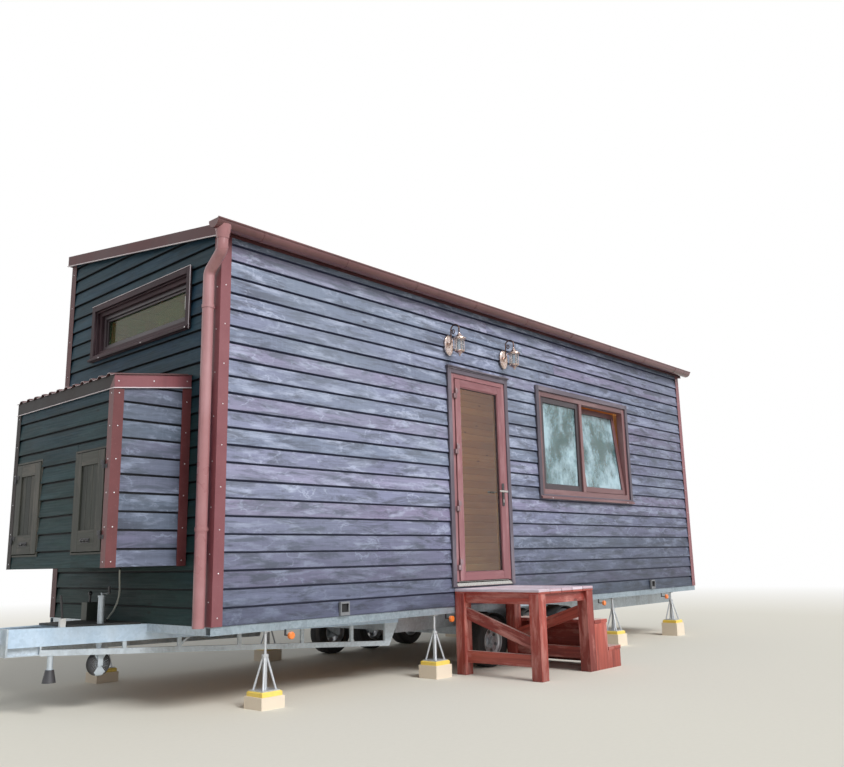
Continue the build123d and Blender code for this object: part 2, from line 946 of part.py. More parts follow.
def make_hatch(y0, y1, hinge_at_near):
    """Stiles and rails round a recessed panel, with a sliding bolt and two hinges."""
    g = hatch_gap
    x0 = -locker_depth - hatch_proud
    x1 = x0 + hatch_thickness
    z0 = hatch_bottom + g
    z1 = hatch_bottom + hatch_height - g
    hatch = block(x0, x1, y0 + g, y1 - g, z0, z1)
    panel = block(x0 - 1, x0 + hatch_recess, y0 + g + hatch_stile, y1 - g - hatch_stile,
                  z0 + hatch_rail * 1.6, z1 - hatch_rail)
    hatch = hatch - panel
    edge = y0 + g if hinge_at_near else y1 - g
    into = 1 if hinge_at_near else -1
    axis_x = x0 - hatch_hinge_stand
    for height in hatch_hinge_heights():
        low = height + hinge_play
        high = height + hatch_hinge_length / 2
        barrel = rod((axis_x, edge, low), (axis_x, edge, high), hatch_hinge_radius)
        bore = rod((axis_x, edge, low - 1), (axis_x, edge, height + hatch_hinge_length * 0.43),
                   hatch_pin_radius + pin_play)
        ends = sorted((edge + into * 3, edge + into * 40))
        strap = block(x0 - 5, x0, ends[0], ends[1], low, high)
        hatch = hatch + (barrel + strap - bore)
    middle = (y0 + y1) / 2
    bolt_z = z0 + hatch_rail * 0.8
    plate = block(x0 - 3, x0, middle - bolt_length / 2, middle + bolt_length / 2, bolt_z - 16, bolt_z + 16)
    slide = rod((x0 - 3 - bolt_radius, middle - bolt_length / 2, bolt_z),
                (x0 - 3 - bolt_radius, middle + bolt_length / 2, bolt_z), bolt_radius + 0.5)
    knob = rod((x0 - 4, middle, bolt_z), (x0 - 26, middle, bolt_z), bolt_radius)
    return hatch + plate + slide + knob


def make_near_hatch():
    near, far = hatch_spans()
    return make_hatch(near[0], near[1], True)


def make_far_hatch():
    near, far = hatch_spans()
    return make_hatch(far[0], far[1], False)


# Trailer frame


def make_side_rails():
    """Channels along both sides, open towards the middle."""
    y0 = side_rail_inset
    y1 = y0 + side_rail_width
    t = side_rail_wall
    low = -side_rail_height
    channel = [(y0, 0), (y0, low), (y1, low), (y1, low + t), (y0 + t, low + t), (y0 + t, -t), (y1, -t), (y1, 0)]
    near = along_x(channel, 0, house_length)
    return group([near, to_far_side(near)])


def make_cross_members():
    y0 = side_rail_inset + side_rail_width
    spacing = (house_length - cross_width) / (cross_count - 1)
    members = []
    for number in range(cross_count):
        x0 = number * spacing
        members.append(block(x0, x0 + cross_width, y0, house_width - y0, -cross_height, 0))
    return group(members)


def make_main_beams():
    """Two channels under the floor, over the axles."""
    y0 = main_beam_inset
    y1 = y0 + main_beam_width
    top = -cross_height
    low = top - main_beam_height
    t = side_rail_wall
    channel = [(y0, top), (y0, low), (y1, low), (y1, low + t), (y0 + t, low + t), (y0 + t, top - t), (y1, top - t), (y1, top)]
    near = along_x(channel, arm_rear_x, house_length - main_beam_short)
    return group([near, to_far_side(near)])


def arm_plane():
    """Upright plane of the near drawbar arm's outer face, measured from its rear end."""
    return Plane(origin=(arm_rear_x, arm_rear_y, 0),
                 x_dir=(-cos(arm_angle), sin(arm_angle), 0),
                 z_dir=(sin(arm_angle), cos(arm_angle), 0))


def arm_reach(x):
    """Distance along the arm at which it passes a place along the house."""
    return (arm_rear_x - x) / cos(arm_angle)


def arm_face(x):
    """Distance of the near arm's outer face behind the front wall."""
    return arm_rear_y + (arm_rear_x - x) * tan(arm_angle)


def arm_inside(x):
    """Distance of the near arm's inner flange edges behind the front wall."""
    return arm_face(x) + arm_flange / cos(arm_angle)


def arm_top(x):
    """Height of the arms' top ahead of the house, where it rises to the front."""
    share = (arm_taper_start - x) / (arm_taper_start - arm_front_x)
    return arm_kink_top + (arm_front_top - arm_kink_top) * share


def arm_top_inside(x):
    """Height of the arms' top at their inner flange edges."""
    return arm_top(x - arm_flange * sin(arm_angle))


def on_arm(points, start, thickness):
    """Outline along the arm, from a depth inside its outer face, drawn inwards."""
    outline = make_face(Polyline(*points, close=True))
    return extrude(arm_plane().offset(start) * outline, amount=thickness)


def make_drawbar_arms():
    """Folded plate arms, shallow under the floor and full depth ahead of the house."""
    front = arm_reach(arm_front_x)
    kink = arm_reach(arm_taper_start)
    shallow = arm_reach(arm_taper_end)
    t = arm_plate
    upper_edge = [(0, -cross_height), (shallow, -cross_height), (kink, arm_kink_top), (front, arm_front_top)]
    web = [(0, arm_bottom), (front, arm_bottom)] + upper_edge[::-1]
    top_flange = upper_edge + [(x, z - t) for x, z in upper_edge[::-1]]
    low_flange = [(0, arm_bottom), (front, arm_bottom), (front, arm_bottom + t), (0, arm_bottom + t)]
    near = on_arm(web, 0, t) + on_arm(top_flange, 0, arm_flange) + on_arm(low_flange, 0, arm_flange)
    near = near - block(0, arm_rear_x, 0, house_width, -cross_height, 2 * arm_front_top)
    near = near - block(arm_rear_x, arm_rear_x + arm_flange, 0, house_width, arm_bottom, 0)
    return group([near, to_far_side(near)])


def brace_middle(reach):
    """Height of the lower tube's centre line at a distance along the arm."""
    rear = arm_reach(brace_rear)
    fall = (brace_front_height - brace_rear_height) / (arm_reach(brace_front) - rear)
    return brace_rear_height + fall * (reach - rear)


def make_drawbar_braces():
    """Lower tubes under the arms, with posts, a diagonal stay and a sloped gusset at the rear."""
    height = brace_middle
    half = brace_height / 2
    rear = arm_reach(brace_rear)
    front = arm_reach(brace_front)
    nose = arm_reach(arm_front_x)
    tube = on_arm([(rear, height(rear) - half), (front, height(front) - half),
                   (front, height(front) + half), (rear, height(rear) + half)], 2, brace_width)
    pieces = [tube]
    for place in post_places:
        reach = arm_reach(place)
        pieces.append(on_arm([(reach - post_size / 2, height(reach)), (reach + post_size / 2, height(reach)),
                              (reach + post_size / 2, arm_bottom), (reach - post_size / 2, arm_bottom)],
                             4, post_size))
    gusset = [(rear - gusset_length * 0.8, arm_bottom), (rear, height(rear) - half),
              (rear + 46, height(rear) - half), (rear + 46, arm_bottom)]
    pieces.append(on_arm(gusset, 2, brace_width))
    upper = arm_reach(stay_top)
    lower = arm_reach(stay_bottom)
    pieces.append(on_arm([(upper, arm_bottom), (lower, height(lower)), (lower + stay_width, height(lower)),
                          (upper + stay_width, arm_bottom)], 0, 8))
    pocket = [(front - 8, arm_bottom), (front - 8, nose_pocket_bottom), (nose, nose_pocket_bottom),
              (nose, arm_bottom)]
    hollow = [(front + 4, arm_bottom + 1), (front + 4, nose_pocket_bottom + 6),
              (nose - 6, nose_pocket_bottom + 6), (nose - 6, arm_bottom + 1)]
    pieces.append(on_arm(pocket, 0, arm_flange) - on_arm(hollow, -1, arm_flange - 6))
    near = join(pieces)
    return group([near, to_far_side(near)])


def make_drawbar_plate():
    """Dark cover plate between the two arms, ahead of the house."""
    t = cover_plate_thickness
    side = [(x, arm_top_inside(x)) for x in (cover_plate_rear, cover_plate_front)]
    side.extend([(x, z + t) for x, z in reversed(side)])
    outline = []
    for x in (cover_plate_rear, cover_plate_front):
        outline.append((x, arm_face(x) + arm_plate))
    for x in (cover_plate_front, cover_plate_rear):
        outline.append((x, house_width - arm_face(x) - arm_plate))
    plate = along_y(side, 0, house_width) & along_z(outline, -100, 100)
    plate = plate - Pos(jockey_place, jockey_y(), 0) * Box(80, 110, 60)
    end = Vector(*hose_route[-1])
    heading = (end - Vector(*hose_route[-2])).normalized()
    return plate + rod(end, end + heading * gland_length, gland_radius)


def make_coupling():
    """Side plates, overrun housing, bellows and ball head on the centre line."""
    y = house_width / 2
    z = coupling_height
    half = y - arm_front_y + 10
    nose = block(arm_front_x - nose_plate, arm_front_x, y - half, y + half, nose_pocket_bottom, arm_front_top + 4)
    plates = block(arm_front_x - 150, arm_front_x - nose_plate, y - coupling_width / 2, y + coupling_width / 2,
                   z - coupling_depth / 2, z + coupling_depth / 2)
    plates = nose + chamfer(plates.edges().filter_by(Axis.X), 10)
    body_front = arm_front_x - coupling_body_length
    body = Pos(arm_front_x - 140, y, z) * Rot(0, -90, 0) * Cylinder(
        coupling_depth / 2 - 6, coupling_body_length - 140, align=(Align.CENTER, Align.CENTER, Align.MIN))
    pieces = [plates, body]
    bellows_end = coupling_end + ball_head_length - 20
    step = (body_front - bellows_end) / (bellows_count * 2)
    for number in range(bellows_count):
        start = body_front - number * 2 * step
        wide = Pos(start + 0.5, y, z) * Rot(0, -90, 0) * Cone(
            bellows_radius - 8, bellows_radius, step + 0.5, align=(Align.CENTER, Align.CENTER, Align.MIN))
        narrow = Pos(start - step, y, z) * Rot(0, -90, 0) * Cone(
            bellows_radius, bellows_radius - 8, step, align=(Align.CENTER, Align.CENTER, Align.MIN))
        pieces.extend([wide, narrow])
    shaft = rod((bellows_end + 10, y, z), (coupling_end + 60, y, z), coupling_shaft_radius)
    head = block(coupling_end + 30, coupling_end + ball_head_length, y - 36, y + 36, z - 34, z + 30)
    head = fillet(head.edges().filter_by(Axis.X), 18)
    cup = Pos(coupling_end + 42, y, z - 12) * Cylinder(42, 70)
    cup = fillet(cup.edges().sort_by(Axis.Z)[-1], 20)
    socket = Pos(coupling_end + 42, y, z - 47) * Sphere(ball_radius)
    handle = block(coupling_end + 70, coupling_end + 190, y - 14, y + 14, z + 26, z + 50)
    handle = fillet(handle.edges().filter_by(Axis.Y), 8)
    return join(pieces + [shaft, head, cup, handle]) - socket


def make_hand_brake():
    """Pale base and dark lever on top of the near arm."""
    x = brake_place
    y = arm_face(x) + arm_flange / 2
    foot = arm_top_inside(x - brake_base / 2)
    half = brake_base / 2
    base = block(x - half, x + half, y - half + 4, y + half - 4, foot, foot + brake_base_height)
    return base + rod((x, y, foot + brake_base_height - 4),
                      (x - 22, y, foot + brake_base_height + brake_length), brake_radius)


def jockey_y():
    return arm_inside(jockey_place) + jockey_tube_radius + jockey_clearance


def make_jockey_wheel():
    """Clamped tube with its winding handle, and the wheel wound up under the drawbar."""
    x = jockey_place
    y = jockey_y()
    tube = Pos(x, y, -150) * Cylinder(jockey_tube_radius, jockey_top + 150,
                                      align=(Align.CENTER, Align.CENTER, Align.MIN))
    cap = Pos(x, y, jockey_top) * Cylinder(jockey_tube_radius + 4, 12)
    crank = rod((x, y, jockey_top), (x, y, jockey_top + 22), 6)
    arm = rod((x - 6, y, jockey_top + 20), (x + 62, y, jockey_top + 20), 6)
    grip = rod((x + 58, y, jockey_top + 12), (x + 58, y, jockey_top + 70), 10)
    inner = rod((x, y, -150), (x, y, jockey_wheel_height + 70), 18)
    fork_y = jockey_wheel_width / 2 + 5
    pieces = [tube, cap, crank, arm, grip, inner]
    pieces.append(block(x - 30, x + 30, y - fork_y - 6, y + fork_y + 6,
                        jockey_wheel_height + jockey_wheel_radius + 4, jockey_wheel_height + jockey_wheel_radius + 12))
    for side in (-1, 1):
        plate_y = y + side * (fork_y + 3)
        pieces.append(block(x - 20, x + 20, plate_y - 3, plate_y + 3, jockey_wheel_height - 14,
                            jockey_wheel_height + jockey_wheel_radius + 6))
    wheel = Pos(x, y, jockey_wheel_height) * Rot(90, 0, 0) * Cylinder(jockey_wheel_radius, jockey_wheel_width)
    wheel = fillet(wheel.edges(), 12)
    pin = rod((x, y - fork_y - 6, jockey_wheel_height), (x, y + fork_y + 6, jockey_wheel_height), 8)
    clamp = block(x - 30, x + 30, y - jockey_tube_radius - jockey_clearance,
                  y + jockey_tube_radius + jockey_clamp_rear, -96, -22)
    nose = arm_reach(arm_front_x)
    high = 2 * arm_front_top
    low = 2 * arm_bottom
    clamp = clamp - on_arm([(0, high), (0, low), (nose, low), (nose, high)], 0, arm_flange)
    return join(pieces + [wheel, pin, clamp])


def make_drawbar_fittings():
    """Valve box on the far arm and the front support foot under the near one."""
    x = valve_place
    foot = arm_top_inside(x - valve_post / 2) + cover_plate_thickness
    top = foot + valve_height
    middle = house_width - arm_face(x) - arm_plate - valve_post / 2
    half = valve_post / 2
    post = block(x - half, x + half, middle - half, middle + half, foot, top)
    stem = rod((x, middle, top - 1), (x, middle, top + valve_stem + 4), 9)
    knob = Pos(x, middle, top + valve_stem + 8) * Sphere(17)
    x = foot_place
    near_middle = arm_face(x) + brace_width / 2 + 2
    reach = arm_reach(x + 24)
    leg = rod((x, near_middle, foot_bottom + 60), (x, near_middle, brace_middle(reach) - brace_height / 2), 21)
    shoe = Pos(x, near_middle, foot_bottom) * Cone(foot_radius, 30, 90, align=(Align.CENTER, Align.CENTER, Align.MIN))
    return group([post + stem + knob, leg + shoe])


# Running gear


def axle_places():
    return [axle_first + axle_spacing * number for number in range(axle_count)]


def make_axles():
    """Cross tubes with trailing arms and stub axles."""
    beams = []
    for place in axle_places():
        x0 = place - axle_lead
        inner = wheel_inset + tyre_width + 8
        half = axle_tube / 2
        tube = block(x0 - half, x0 + half, inner, house_width - inner,
                     axle_tube_height - half, axle_tube_height + half)
        beam = tube
        for side_y in (inner, house_width - inner - swing_arm_thickness):
            arm = along_y([(x0 - half, axle_tube_height + half), (x0 - half, axle_tube_height - half),
                           (place - 10, hub_height - 34), (place + 34, hub_height - 34),
                           (place + 34, hub_height + 34), (x0 + half, axle_tube_height + half)],
                          side_y, side_y + swing_arm_thickness)
            beam = beam + arm
        near_stub = rod((place, inner + 2, hub_height), (place, wheel_y - 30, hub_height), stub_radius)
        far_stub = rod((place, house_width - inner - 2, hub_height),
                       (place, house_width - wheel_y + 30, hub_height), stub_radius)
        pad_y = main_beam_inset
        pads = [block(x0 - half - 20, x0 + half + 20, y0, y0 + main_beam_width,
                      axle_tube_height + half, -cross_height - main_beam_height)
                for y0 in (pad_y, house_width - pad_y - main_beam_width)]
        beams.append(join([beam, near_stub, far_stub] + pads))
    return group(beams)


def wheel_at_origin():
    """Tyre and dished rim turned about the y axis, outer face towards the front."""
    w = tyre_width / 2
    s = tyre_shoulder
    seat = rim_radius
    bore = stub_radius + stub_play
    outline = [
        (seat + 6, -w + 12), (seat + 44, -w), (tyre_radius - s, -w + 6), (tyre_radius, -w + s + 6),
        (tyre_radius, w - s - 6), (tyre_radius - s, w - 6), (seat + 44, w), (seat + 6, w - 12),
        (seat - 8, w - 14), (seat - 14, -w + rim_dish + 26), (hub_radius + 4, -w + rim_dish + 22),
        (hub_radius, 34), (bore, 34), (bore, -w + rim_dish - 16), (hub_radius - 10, -w + rim_dish - 16),
        (hub_radius + 10, -w + rim_dish + 10), (seat - 26, -w + rim_dish - 8), (seat - 16, -w + 10),
    ]
    face = make_face(Polyline(*outline, close=True))
    wheel = revolve(face, axis=Axis.Y)
    for number in range(rim_hole_count):
        turn = 360 / rim_hole_count * number
        hole = Rot(0, turn, 0) * Pos((hub_radius + seat) / 2 + 2, 0, 0) * Rot(90, 0, 0) * Cylinder(
            rim_hole_radius, tyre_width)
        wheel = wheel - hole
    return wheel


def make_wheels():
    """Six separate wheels, named by side and by place from the drawbar end."""
    wheel = wheel_at_origin()
    wheels = {}
    for number, place in enumerate(axle_places(), 1):
        near = Pos(place, wheel_y, hub_height) * wheel
        wheels[f"near_wheel_{number}"] = near
        wheels[f"far_wheel_{number}"] = to_far_side(near)
    return wheels


def make_mudguards():
    """Curved guards over each wheel, hung from the cross members."""
    guards = []
    y0 = wheel_inset - 4
    y1 = wheel_inset + tyre_width + 6
    for place in axle_places():
        outer = Pos(place, (y0 + y1) / 2, hub_height) * Rot(90, 0, 0) * Cylinder(mudguard_radius, y1 - y0)
        inner = Pos(place, (y0 + y1) / 2, hub_height) * Rot(90, 0, 0) * Cylinder(
            mudguard_radius - mudguard_thickness, y1 - y0 + 2)
        reach = 2 * mudguard_radius
        side = reach * tan(radians(mudguard_span))
        wedge = along_y([(place, hub_height), (place - side, hub_height + reach), (place + side, hub_height + reach)],
                        y0 - 1, y1 + 1)
        arc = (outer - inner) & wedge
        bracket = block(place - 16, place + 16, y0 + 86, main_beam_inset, hub_height + mudguard_radius - 2,
                        hub_height + mudguard_radius + 6)
        guards.append(arc + bracket)
    near = group(guards)
    return group([near, to_far_side(near)])


# Jack stands


def stand_sites():
    """Place, side distance and plate height of each stand, near side first."""
    sites = []
    for place, height in zip(stand_places, stand_plate_heights):
        sites.append((place, stand_inset, height))
        sites.append((place, house_width - stand_inset, height))
    return sites


def make_jack_stands():
    """Screw, tube and four sloping legs on a base plate."""
    stands = []
    for x, y, plate in stand_sites():
        top = plate + stand_height
        base = block(x - stand_base / 2, x + stand_base / 2, y - stand_base / 2, y + stand_base / 2,
                     plate, plate + stand_base_thickness)
        tube = rod((x, y, plate + 2), (x, y, top + 12), stand_tube_radius)
        screw = rod((x, y, top), (x, y, -side_rail_height - 6), stand_screw_radius)
        head = block(x - 26, x + 26, y - 26, y + 26, -side_rail_height - 8, -side_rail_height)
        collar = Pos(x, y, top) * Cylinder(stand_tube_radius + 9, 20)
        pieces = [base, tube, screw, head, collar]
        for turn in range(4):
            angle = pi / 4 + turn * pi / 2
            foot = (x + stand_leg_spread * 1.3 * cos(angle), y + stand_leg_spread * 1.3 * sin(angle), plate + 4)
            neck = (x + 12 * cos(angle), y + 12 * sin(angle), top)
            pieces.append(rod(foot, neck, stand_leg_radius))
        stands.append(join(pieces))
    return group(stands)


def make_stand_plates():
    plates = []
    for x, y, plate in stand_sites():
        half = plate_side / 2
        slab = block(x - half, x + half, y - half, y + half, plate - plate_depth, plate)
        plates.append(chamfer(slab.edges().group_by(Axis.Z)[-1], 8))
    return group(plates)


def make_stand_blocks():
    half = block_side / 2
    return group([block(x - half, x + half, y - half, y + half, ground, plate - plate_depth)
                  for x, y, plate in stand_sites()])


# Lamps, inlets and lanterns


def make_marker_lamps():
    """Round side lamps on arms from the side rails."""
    lamps = []
    for place in lamp_places:
        y0 = -lamp_reach
        lens = Pos(place, y0 - lamp_thickness / 2, lamp_height) * Rot(90, 0, 0) * Cylinder(lamp_radius, lamp_thickness)
        lens = fillet(lens.edges().sort_by(Axis.Y)[0], 8)
        arm = block(place - lamp_arm / 2, place + lamp_arm / 2, y0 - 2, side_rail_inset + 30,
                    lamp_height - 4, lamp_height + 4)
        riser = block(place - lamp_arm / 2, place + lamp_arm / 2, side_rail_inset + 22, side_rail_inset + 30,
                      lamp_height - 4, -side_rail_height)
        lamps.append(lens + arm + riser)
    near = group(lamps)
    return group([near, to_far_side(near)])


def make_wall_inlets():
    """Hooded inlets on the lowest board."""
    inlets = []
    half = inlet_width / 2
    for place in inlet_places:
        hood = block(place - half, place + half, -inlet_depth, 0, inlet_height - half, inlet_height + half + 8)
        hollow = block(place - half + 12, place + half - 12, -inlet_depth - 1, -6,
                       inlet_height - half + 26, inlet_height + half - 8)
        inlets.append(hood - hollow)
    return group(inlets)


def lantern_base():
    """Height of the lantern's glass foot."""
    return lantern_height - lantern_glass_drop


def make_lanterns():
    """Rimmed wall plate, looped arm, cap and wire cage round the glass."""
    lanterns = []
    for place in lantern_places:
        y = -lantern_reach
        foot = lantern_base()
        top = foot + lantern_glass_height
        face = lantern_plate_thickness
        plate = Pos(place, -face / 2, lantern_height) * Rot(90, 0, 0) * Cylinder(lantern_plate_radius, face)
        rim = Pos(place, -face - lantern_rim_step / 2, lantern_height) * Rot(90, 0, 0) * (
            Cylinder(lantern_plate_radius, lantern_rim_step)
            - Cylinder(lantern_plate_radius - lantern_rim, lantern_rim_step + 2))
        boss = Pos(place, -face - 5, lantern_height) * Rot(90, 0, 0) * Cylinder(lantern_arm_radius + 9, 12)
        high = lantern_height + lantern_arm_rise
        path = FilletPolyline((place, -face + 2, lantern_height), (place, -lantern_arm_stand, lantern_height),
                              (place, -lantern_arm_stand, high), (place, y, high),
                              (place, y, top + lantern_cap_height - 8), radius=lantern_arm_bend)
        arm = sweep(Plane(path ^ 0) * Circle(lantern_arm_radius), path=path)
        cap = Pos(place, y, top) * Cone(lantern_cap_radius, 14, lantern_cap_height,
                                        align=(Align.CENTER, Align.CENTER, Align.MIN))
        brim = Pos(place, y, top) * Cylinder(lantern_cap_radius, 6)
        neck = Pos(place, y, top + lantern_cap_height) * Cylinder(14, 20)
        base = Pos(place, y, foot - 6) * Cylinder(lantern_glass_radius + 10, 10)
        finial = Pos(place, y, foot - 9) * Cone(5, 26, 26, align=(Align.CENTER, Align.CENTER, Align.MAX))
        tip = Pos(place, y, foot - 42) * Sphere(9)
        pieces = [plate, rim, boss, arm, cap, brim, neck, base, finial, tip]
        for number in range(lantern_bars):
            angle = 2 * pi * number / lantern_bars
            reach = lantern_glass_radius + 6
            spot = (place + reach * cos(angle), y + reach * sin(angle))
            pieces.append(rod((spot[0], spot[1], foot - 6), (spot[0], spot[1], top + 2), 2.5))
        lanterns.append(join(pieces))
    return group(lanterns)


def make_lantern_glasses():
    glasses = []
    for place in lantern_places:
        foot = lantern_base() - 1
        tube = Pos(place, -lantern_reach, foot) * Cylinder(
            lantern_glass_radius, lantern_glass_height - 2, align=(Align.CENTER, Align.CENTER, Align.MIN))
        core = Pos(place, -lantern_reach, foot) * Cylinder(
            lantern_glass_radius - 3, lantern_glass_height, align=(Align.CENTER, Align.CENTER, Align.MIN))
        glasses.append(tube - core)
    return group(glasses)


# Steps


def make_step_deck():
    boards = []
    pitch = (step_width + deck_gap) / deck_boards
    for number in range(deck_boards):
        x0 = step_left + number * pitch
        boards.append(block(x0, x0 + pitch - deck_gap, -step_reach, 0, step_top - deck_thickness, step_top))
    return group(boards)


def make_step_frame():
    """Four legs, aprons, low rails and one diagonal brace on each side."""
    x0 = step_left
    x1 = step_left + step_width
    y0 = -step_reach + 6
    y1 = 0
    top = step_top - deck_thickness
    pieces = []
    for leg_x in (x0, x1 - leg_side):
        for leg_y in (y0, y1 - leg_side):
            pieces.append(block(leg_x, leg_x + leg_side, leg_y, leg_y + leg_side, ground, top))
    t = step_rail_thickness
    inset = (leg_side - t) / 2
    for front_y in (y0 + inset, y1 - leg_side + inset):
        pieces.append(block(x0 + leg_side - 5, x1 - leg_side + 5, front_y, front_y + t, top - apron_depth, top))
    for side_x in (x0 + inset, x1 - leg_side + inset):
        pieces.append(block(side_x, side_x + t, y0 + leg_side - 5, y1 - leg_side + 5, top - apron_depth, top))
        pieces.append(block(side_x, side_x + t, y0 + leg_side - 5, y1 - leg_side + 5,
                            low_rail_top - step_rail, low_rail_top))
    near_y = y0 + leg_side - 5
    wall_y = y1 - leg_side + 5
    high = top - apron_depth - 40
    falling = [(wall_y, high), (wall_y, high - step_rail), (near_y, high - step_rail - brace_fall), (near_y, high - brace_fall)]
    rising = [(near_y, high), (near_y, high - step_rail), (wall_y, high - step_rail - brace_fall), (wall_y, high - brace_fall)]
    pieces.append(along_x(falling, x0 + inset, x0 + inset + t))
    pieces.append(along_x(rising, x1 - leg_side + inset, x1 - leg_side + inset + t))
    return join(pieces)


def make_step_flight():
    """Two treads between cut side boards, fixed to the right legs."""
    x0 = step_left + step_width
    y0 = -step_reach + 6
    y1 = 0
    first, second = tread_heights
    t = tread_thickness
    cut = [
        (x0, ground), (x0 + 2 * tread_run - 6, ground), (x0 + 2 * tread_run - 6, second - t),
        (x0 + tread_run - 6, second - t), (x0 + tread_run - 6, first - t), (x0, first - t),
    ]
    pieces = [along_y(cut, y0, y0 + stringer_thickness), along_y(cut, y1 - stringer_thickness, y1)]
    for number, height in enumerate(tread_heights):
        start = x0 + tread_run * number
        pieces.append(block(start, start + tread_run, y0 - 4, y1, height - t, height))
    return join(pieces)


# Hose


def make_hose():
    """Hose from the locker floor to the drawbar, between its two glands."""
    points = [Vector(*point) for point in hose_route]
    radii = []
    for before, here, after in zip(points, points[1:], points[2:]):
        turn = (here - before).get_angle(after - here)
        shorter = min((here - before).length, (after - here).length)
        radii.append(0.45 * shorter / tan(radians(turn) / 2))
    print("hose radii", [round(radius) for radius in radii])
    path = FilletPolyline(*points, radius=radii)
    print("hose length", round(path.length))
    return sweep(Plane(path ^ 0) * Circle(hose_radius), path=path)


pieces = {
    "floor_deck": make_floor_deck(),
    "front_wall_left": make_front_wall_left(),
    "front_wall_right": make_front_wall_right(),
    "front_wall_over_door": make_front_wall_over_door(),
    "front_wall_under_door": make_front_wall_under_door(),
    "back_wall": make_back_wall(),
    "left_end_wall": make_left_end_wall(),
    "right_end_wall": make_end_wall(house_length - wall_thickness),
    "roof_panel": make_roof_panel(),
    "roof_sheet": make_roof_sheet(),
    "roof_edge_trims": make_roof_edge_trims(),
    "gutter": make_gutter(),
    "downpipe": make_downpipe(),
    "corner_trims": make_corner_trims(),
    "door_frame": make_door_frame(),
    "door_leaf": make_door_leaf(),
    "door_glass": make_door_glass(),
    "door_plates": make_door_plates(),
    "door_lever": make_door_lever(),
    "window_frame": make_window_frame(),
    "window_sashes": make_window_sashes(),
    "window_panes": make_window_panes(),
    "loft_window_frame": make_loft_window_frame(),
    "opening_trims": make_opening_trims(),
    "locker_sides": make_locker_sides(),
    "locker_front": make_locker_front(),
    "locker_floor": make_locker_floor(),
    "locker_roof": make_locker_roof(),
    "locker_trims": make_locker_trims(),
    "near_hatch": make_near_hatch(),
    "far_hatch": make_far_hatch(),
    "side_rails": make_side_rails(),
    "cross_members": make_cross_members(),
    "main_beams": make_main_beams(),
    "drawbar_arms": make_drawbar_arms(),
    "drawbar_braces": make_drawbar_braces(),
    "coupling": make_coupling(),
    "hand_brake": make_hand_brake(),
    "drawbar_plate": make_drawbar_plate(),
    "jockey_wheel": make_jockey_wheel(),
    "drawbar_fittings": make_drawbar_fittings(),
    "axles": make_axles(),
    "mudguards": make_mudguards(),
    "jack_stands": make_jack_stands(),
    "stand_plates": make_stand_plates(),
    "stand_blocks": make_stand_blocks(),
    "marker_lamps": make_marker_lamps(),
    "wall_inlets": make_wall_inlets(),
    "lanterns": make_lanterns(),
    "lantern_glasses": make_lantern_glasses(),
    "step_deck": make_step_deck(),
    "step_frame": make_step_frame(),
    "step_flight": make_step_flight(),
    "gas_hose": make_hose(),
}
pieces.update(make_wheels())

# The origin is the middle of the whole footprint, at ground level.
footprint_left = coupling_end
footprint_right = house_length + gutter_right_run
footprint_front = -step_reach
footprint_back = house_width - stand_inset + block_side / 2
to_part_frame = Pos(-(footprint_left + footprint_right) / 2, -(footprint_front + footprint_back) / 2, -ground)

os.makedirs("parts", exist_ok=True)
for name, piece in pieces.items():
    solids = [to_part_frame * solid for solid in piece.solids()]
    export_step(Compound(solids), f"parts/{name}.step")
print(len(pieces), "pieces")
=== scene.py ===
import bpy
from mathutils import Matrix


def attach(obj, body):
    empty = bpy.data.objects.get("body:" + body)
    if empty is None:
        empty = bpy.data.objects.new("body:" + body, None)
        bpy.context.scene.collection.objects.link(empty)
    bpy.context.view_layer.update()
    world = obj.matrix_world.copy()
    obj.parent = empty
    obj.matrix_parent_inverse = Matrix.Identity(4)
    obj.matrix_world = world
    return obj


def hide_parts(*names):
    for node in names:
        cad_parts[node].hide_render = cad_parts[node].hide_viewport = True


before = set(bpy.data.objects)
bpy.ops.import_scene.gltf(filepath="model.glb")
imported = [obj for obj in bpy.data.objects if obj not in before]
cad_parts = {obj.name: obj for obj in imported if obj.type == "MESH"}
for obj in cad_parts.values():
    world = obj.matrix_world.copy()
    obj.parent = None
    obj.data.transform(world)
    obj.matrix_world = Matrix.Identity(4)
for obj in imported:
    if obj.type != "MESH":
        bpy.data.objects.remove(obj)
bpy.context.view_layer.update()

import random
from math import atan2, cos, hypot, pi, radians, sin, tan

import bmesh
import bpy
from mathutils import Matrix, Vector, noise

# Tiny house on a trailer. Sizes below are millimetres in the house's own frame:
# x along the front wall from the drawbar end, y back from the front wall, z up from the cladding's underside.
house = {
    "length": 7730, "width": 2500, "wall": 140, "eave": 2910, "ground": -600, "middle": (3123, 811.5),
    "roofRise": tan(radians(8.8)), "lockerTop": 1858, "lockerRise": tan(radians(7.6)),
}


def at(x, y, z):  # house millimetres to the metres of the frame
    return Vector(((x - house["middle"][0]) / 1000, (y - house["middle"][1]) / 1000, (z - house["ground"]) / 1000))


def underRoof(y):
    return house["eave"] + house["roofRise"] * y


def underLockerRoof(x):
    return house["lockerTop"] + house["lockerRise"] * x


def placeObject(name, data):
    holder = bpy.data.objects.new(name, data)
    bpy.context.scene.collection.objects.link(holder)
    return holder


# Camera, set to the photograph's view
cameraView = {
    "place": (-6.635, -6.0015, 1.040),
    "right": (0.6725, -0.7398, -0.0219),
    "down": (0.1363, 0.1528, -0.9788),
    "forward": (0.7274, 0.6553, 0.2036),
    "focalPixels": 841.48, "pictureWidth": 844, "sensor": 36, "farthest": 200,
}


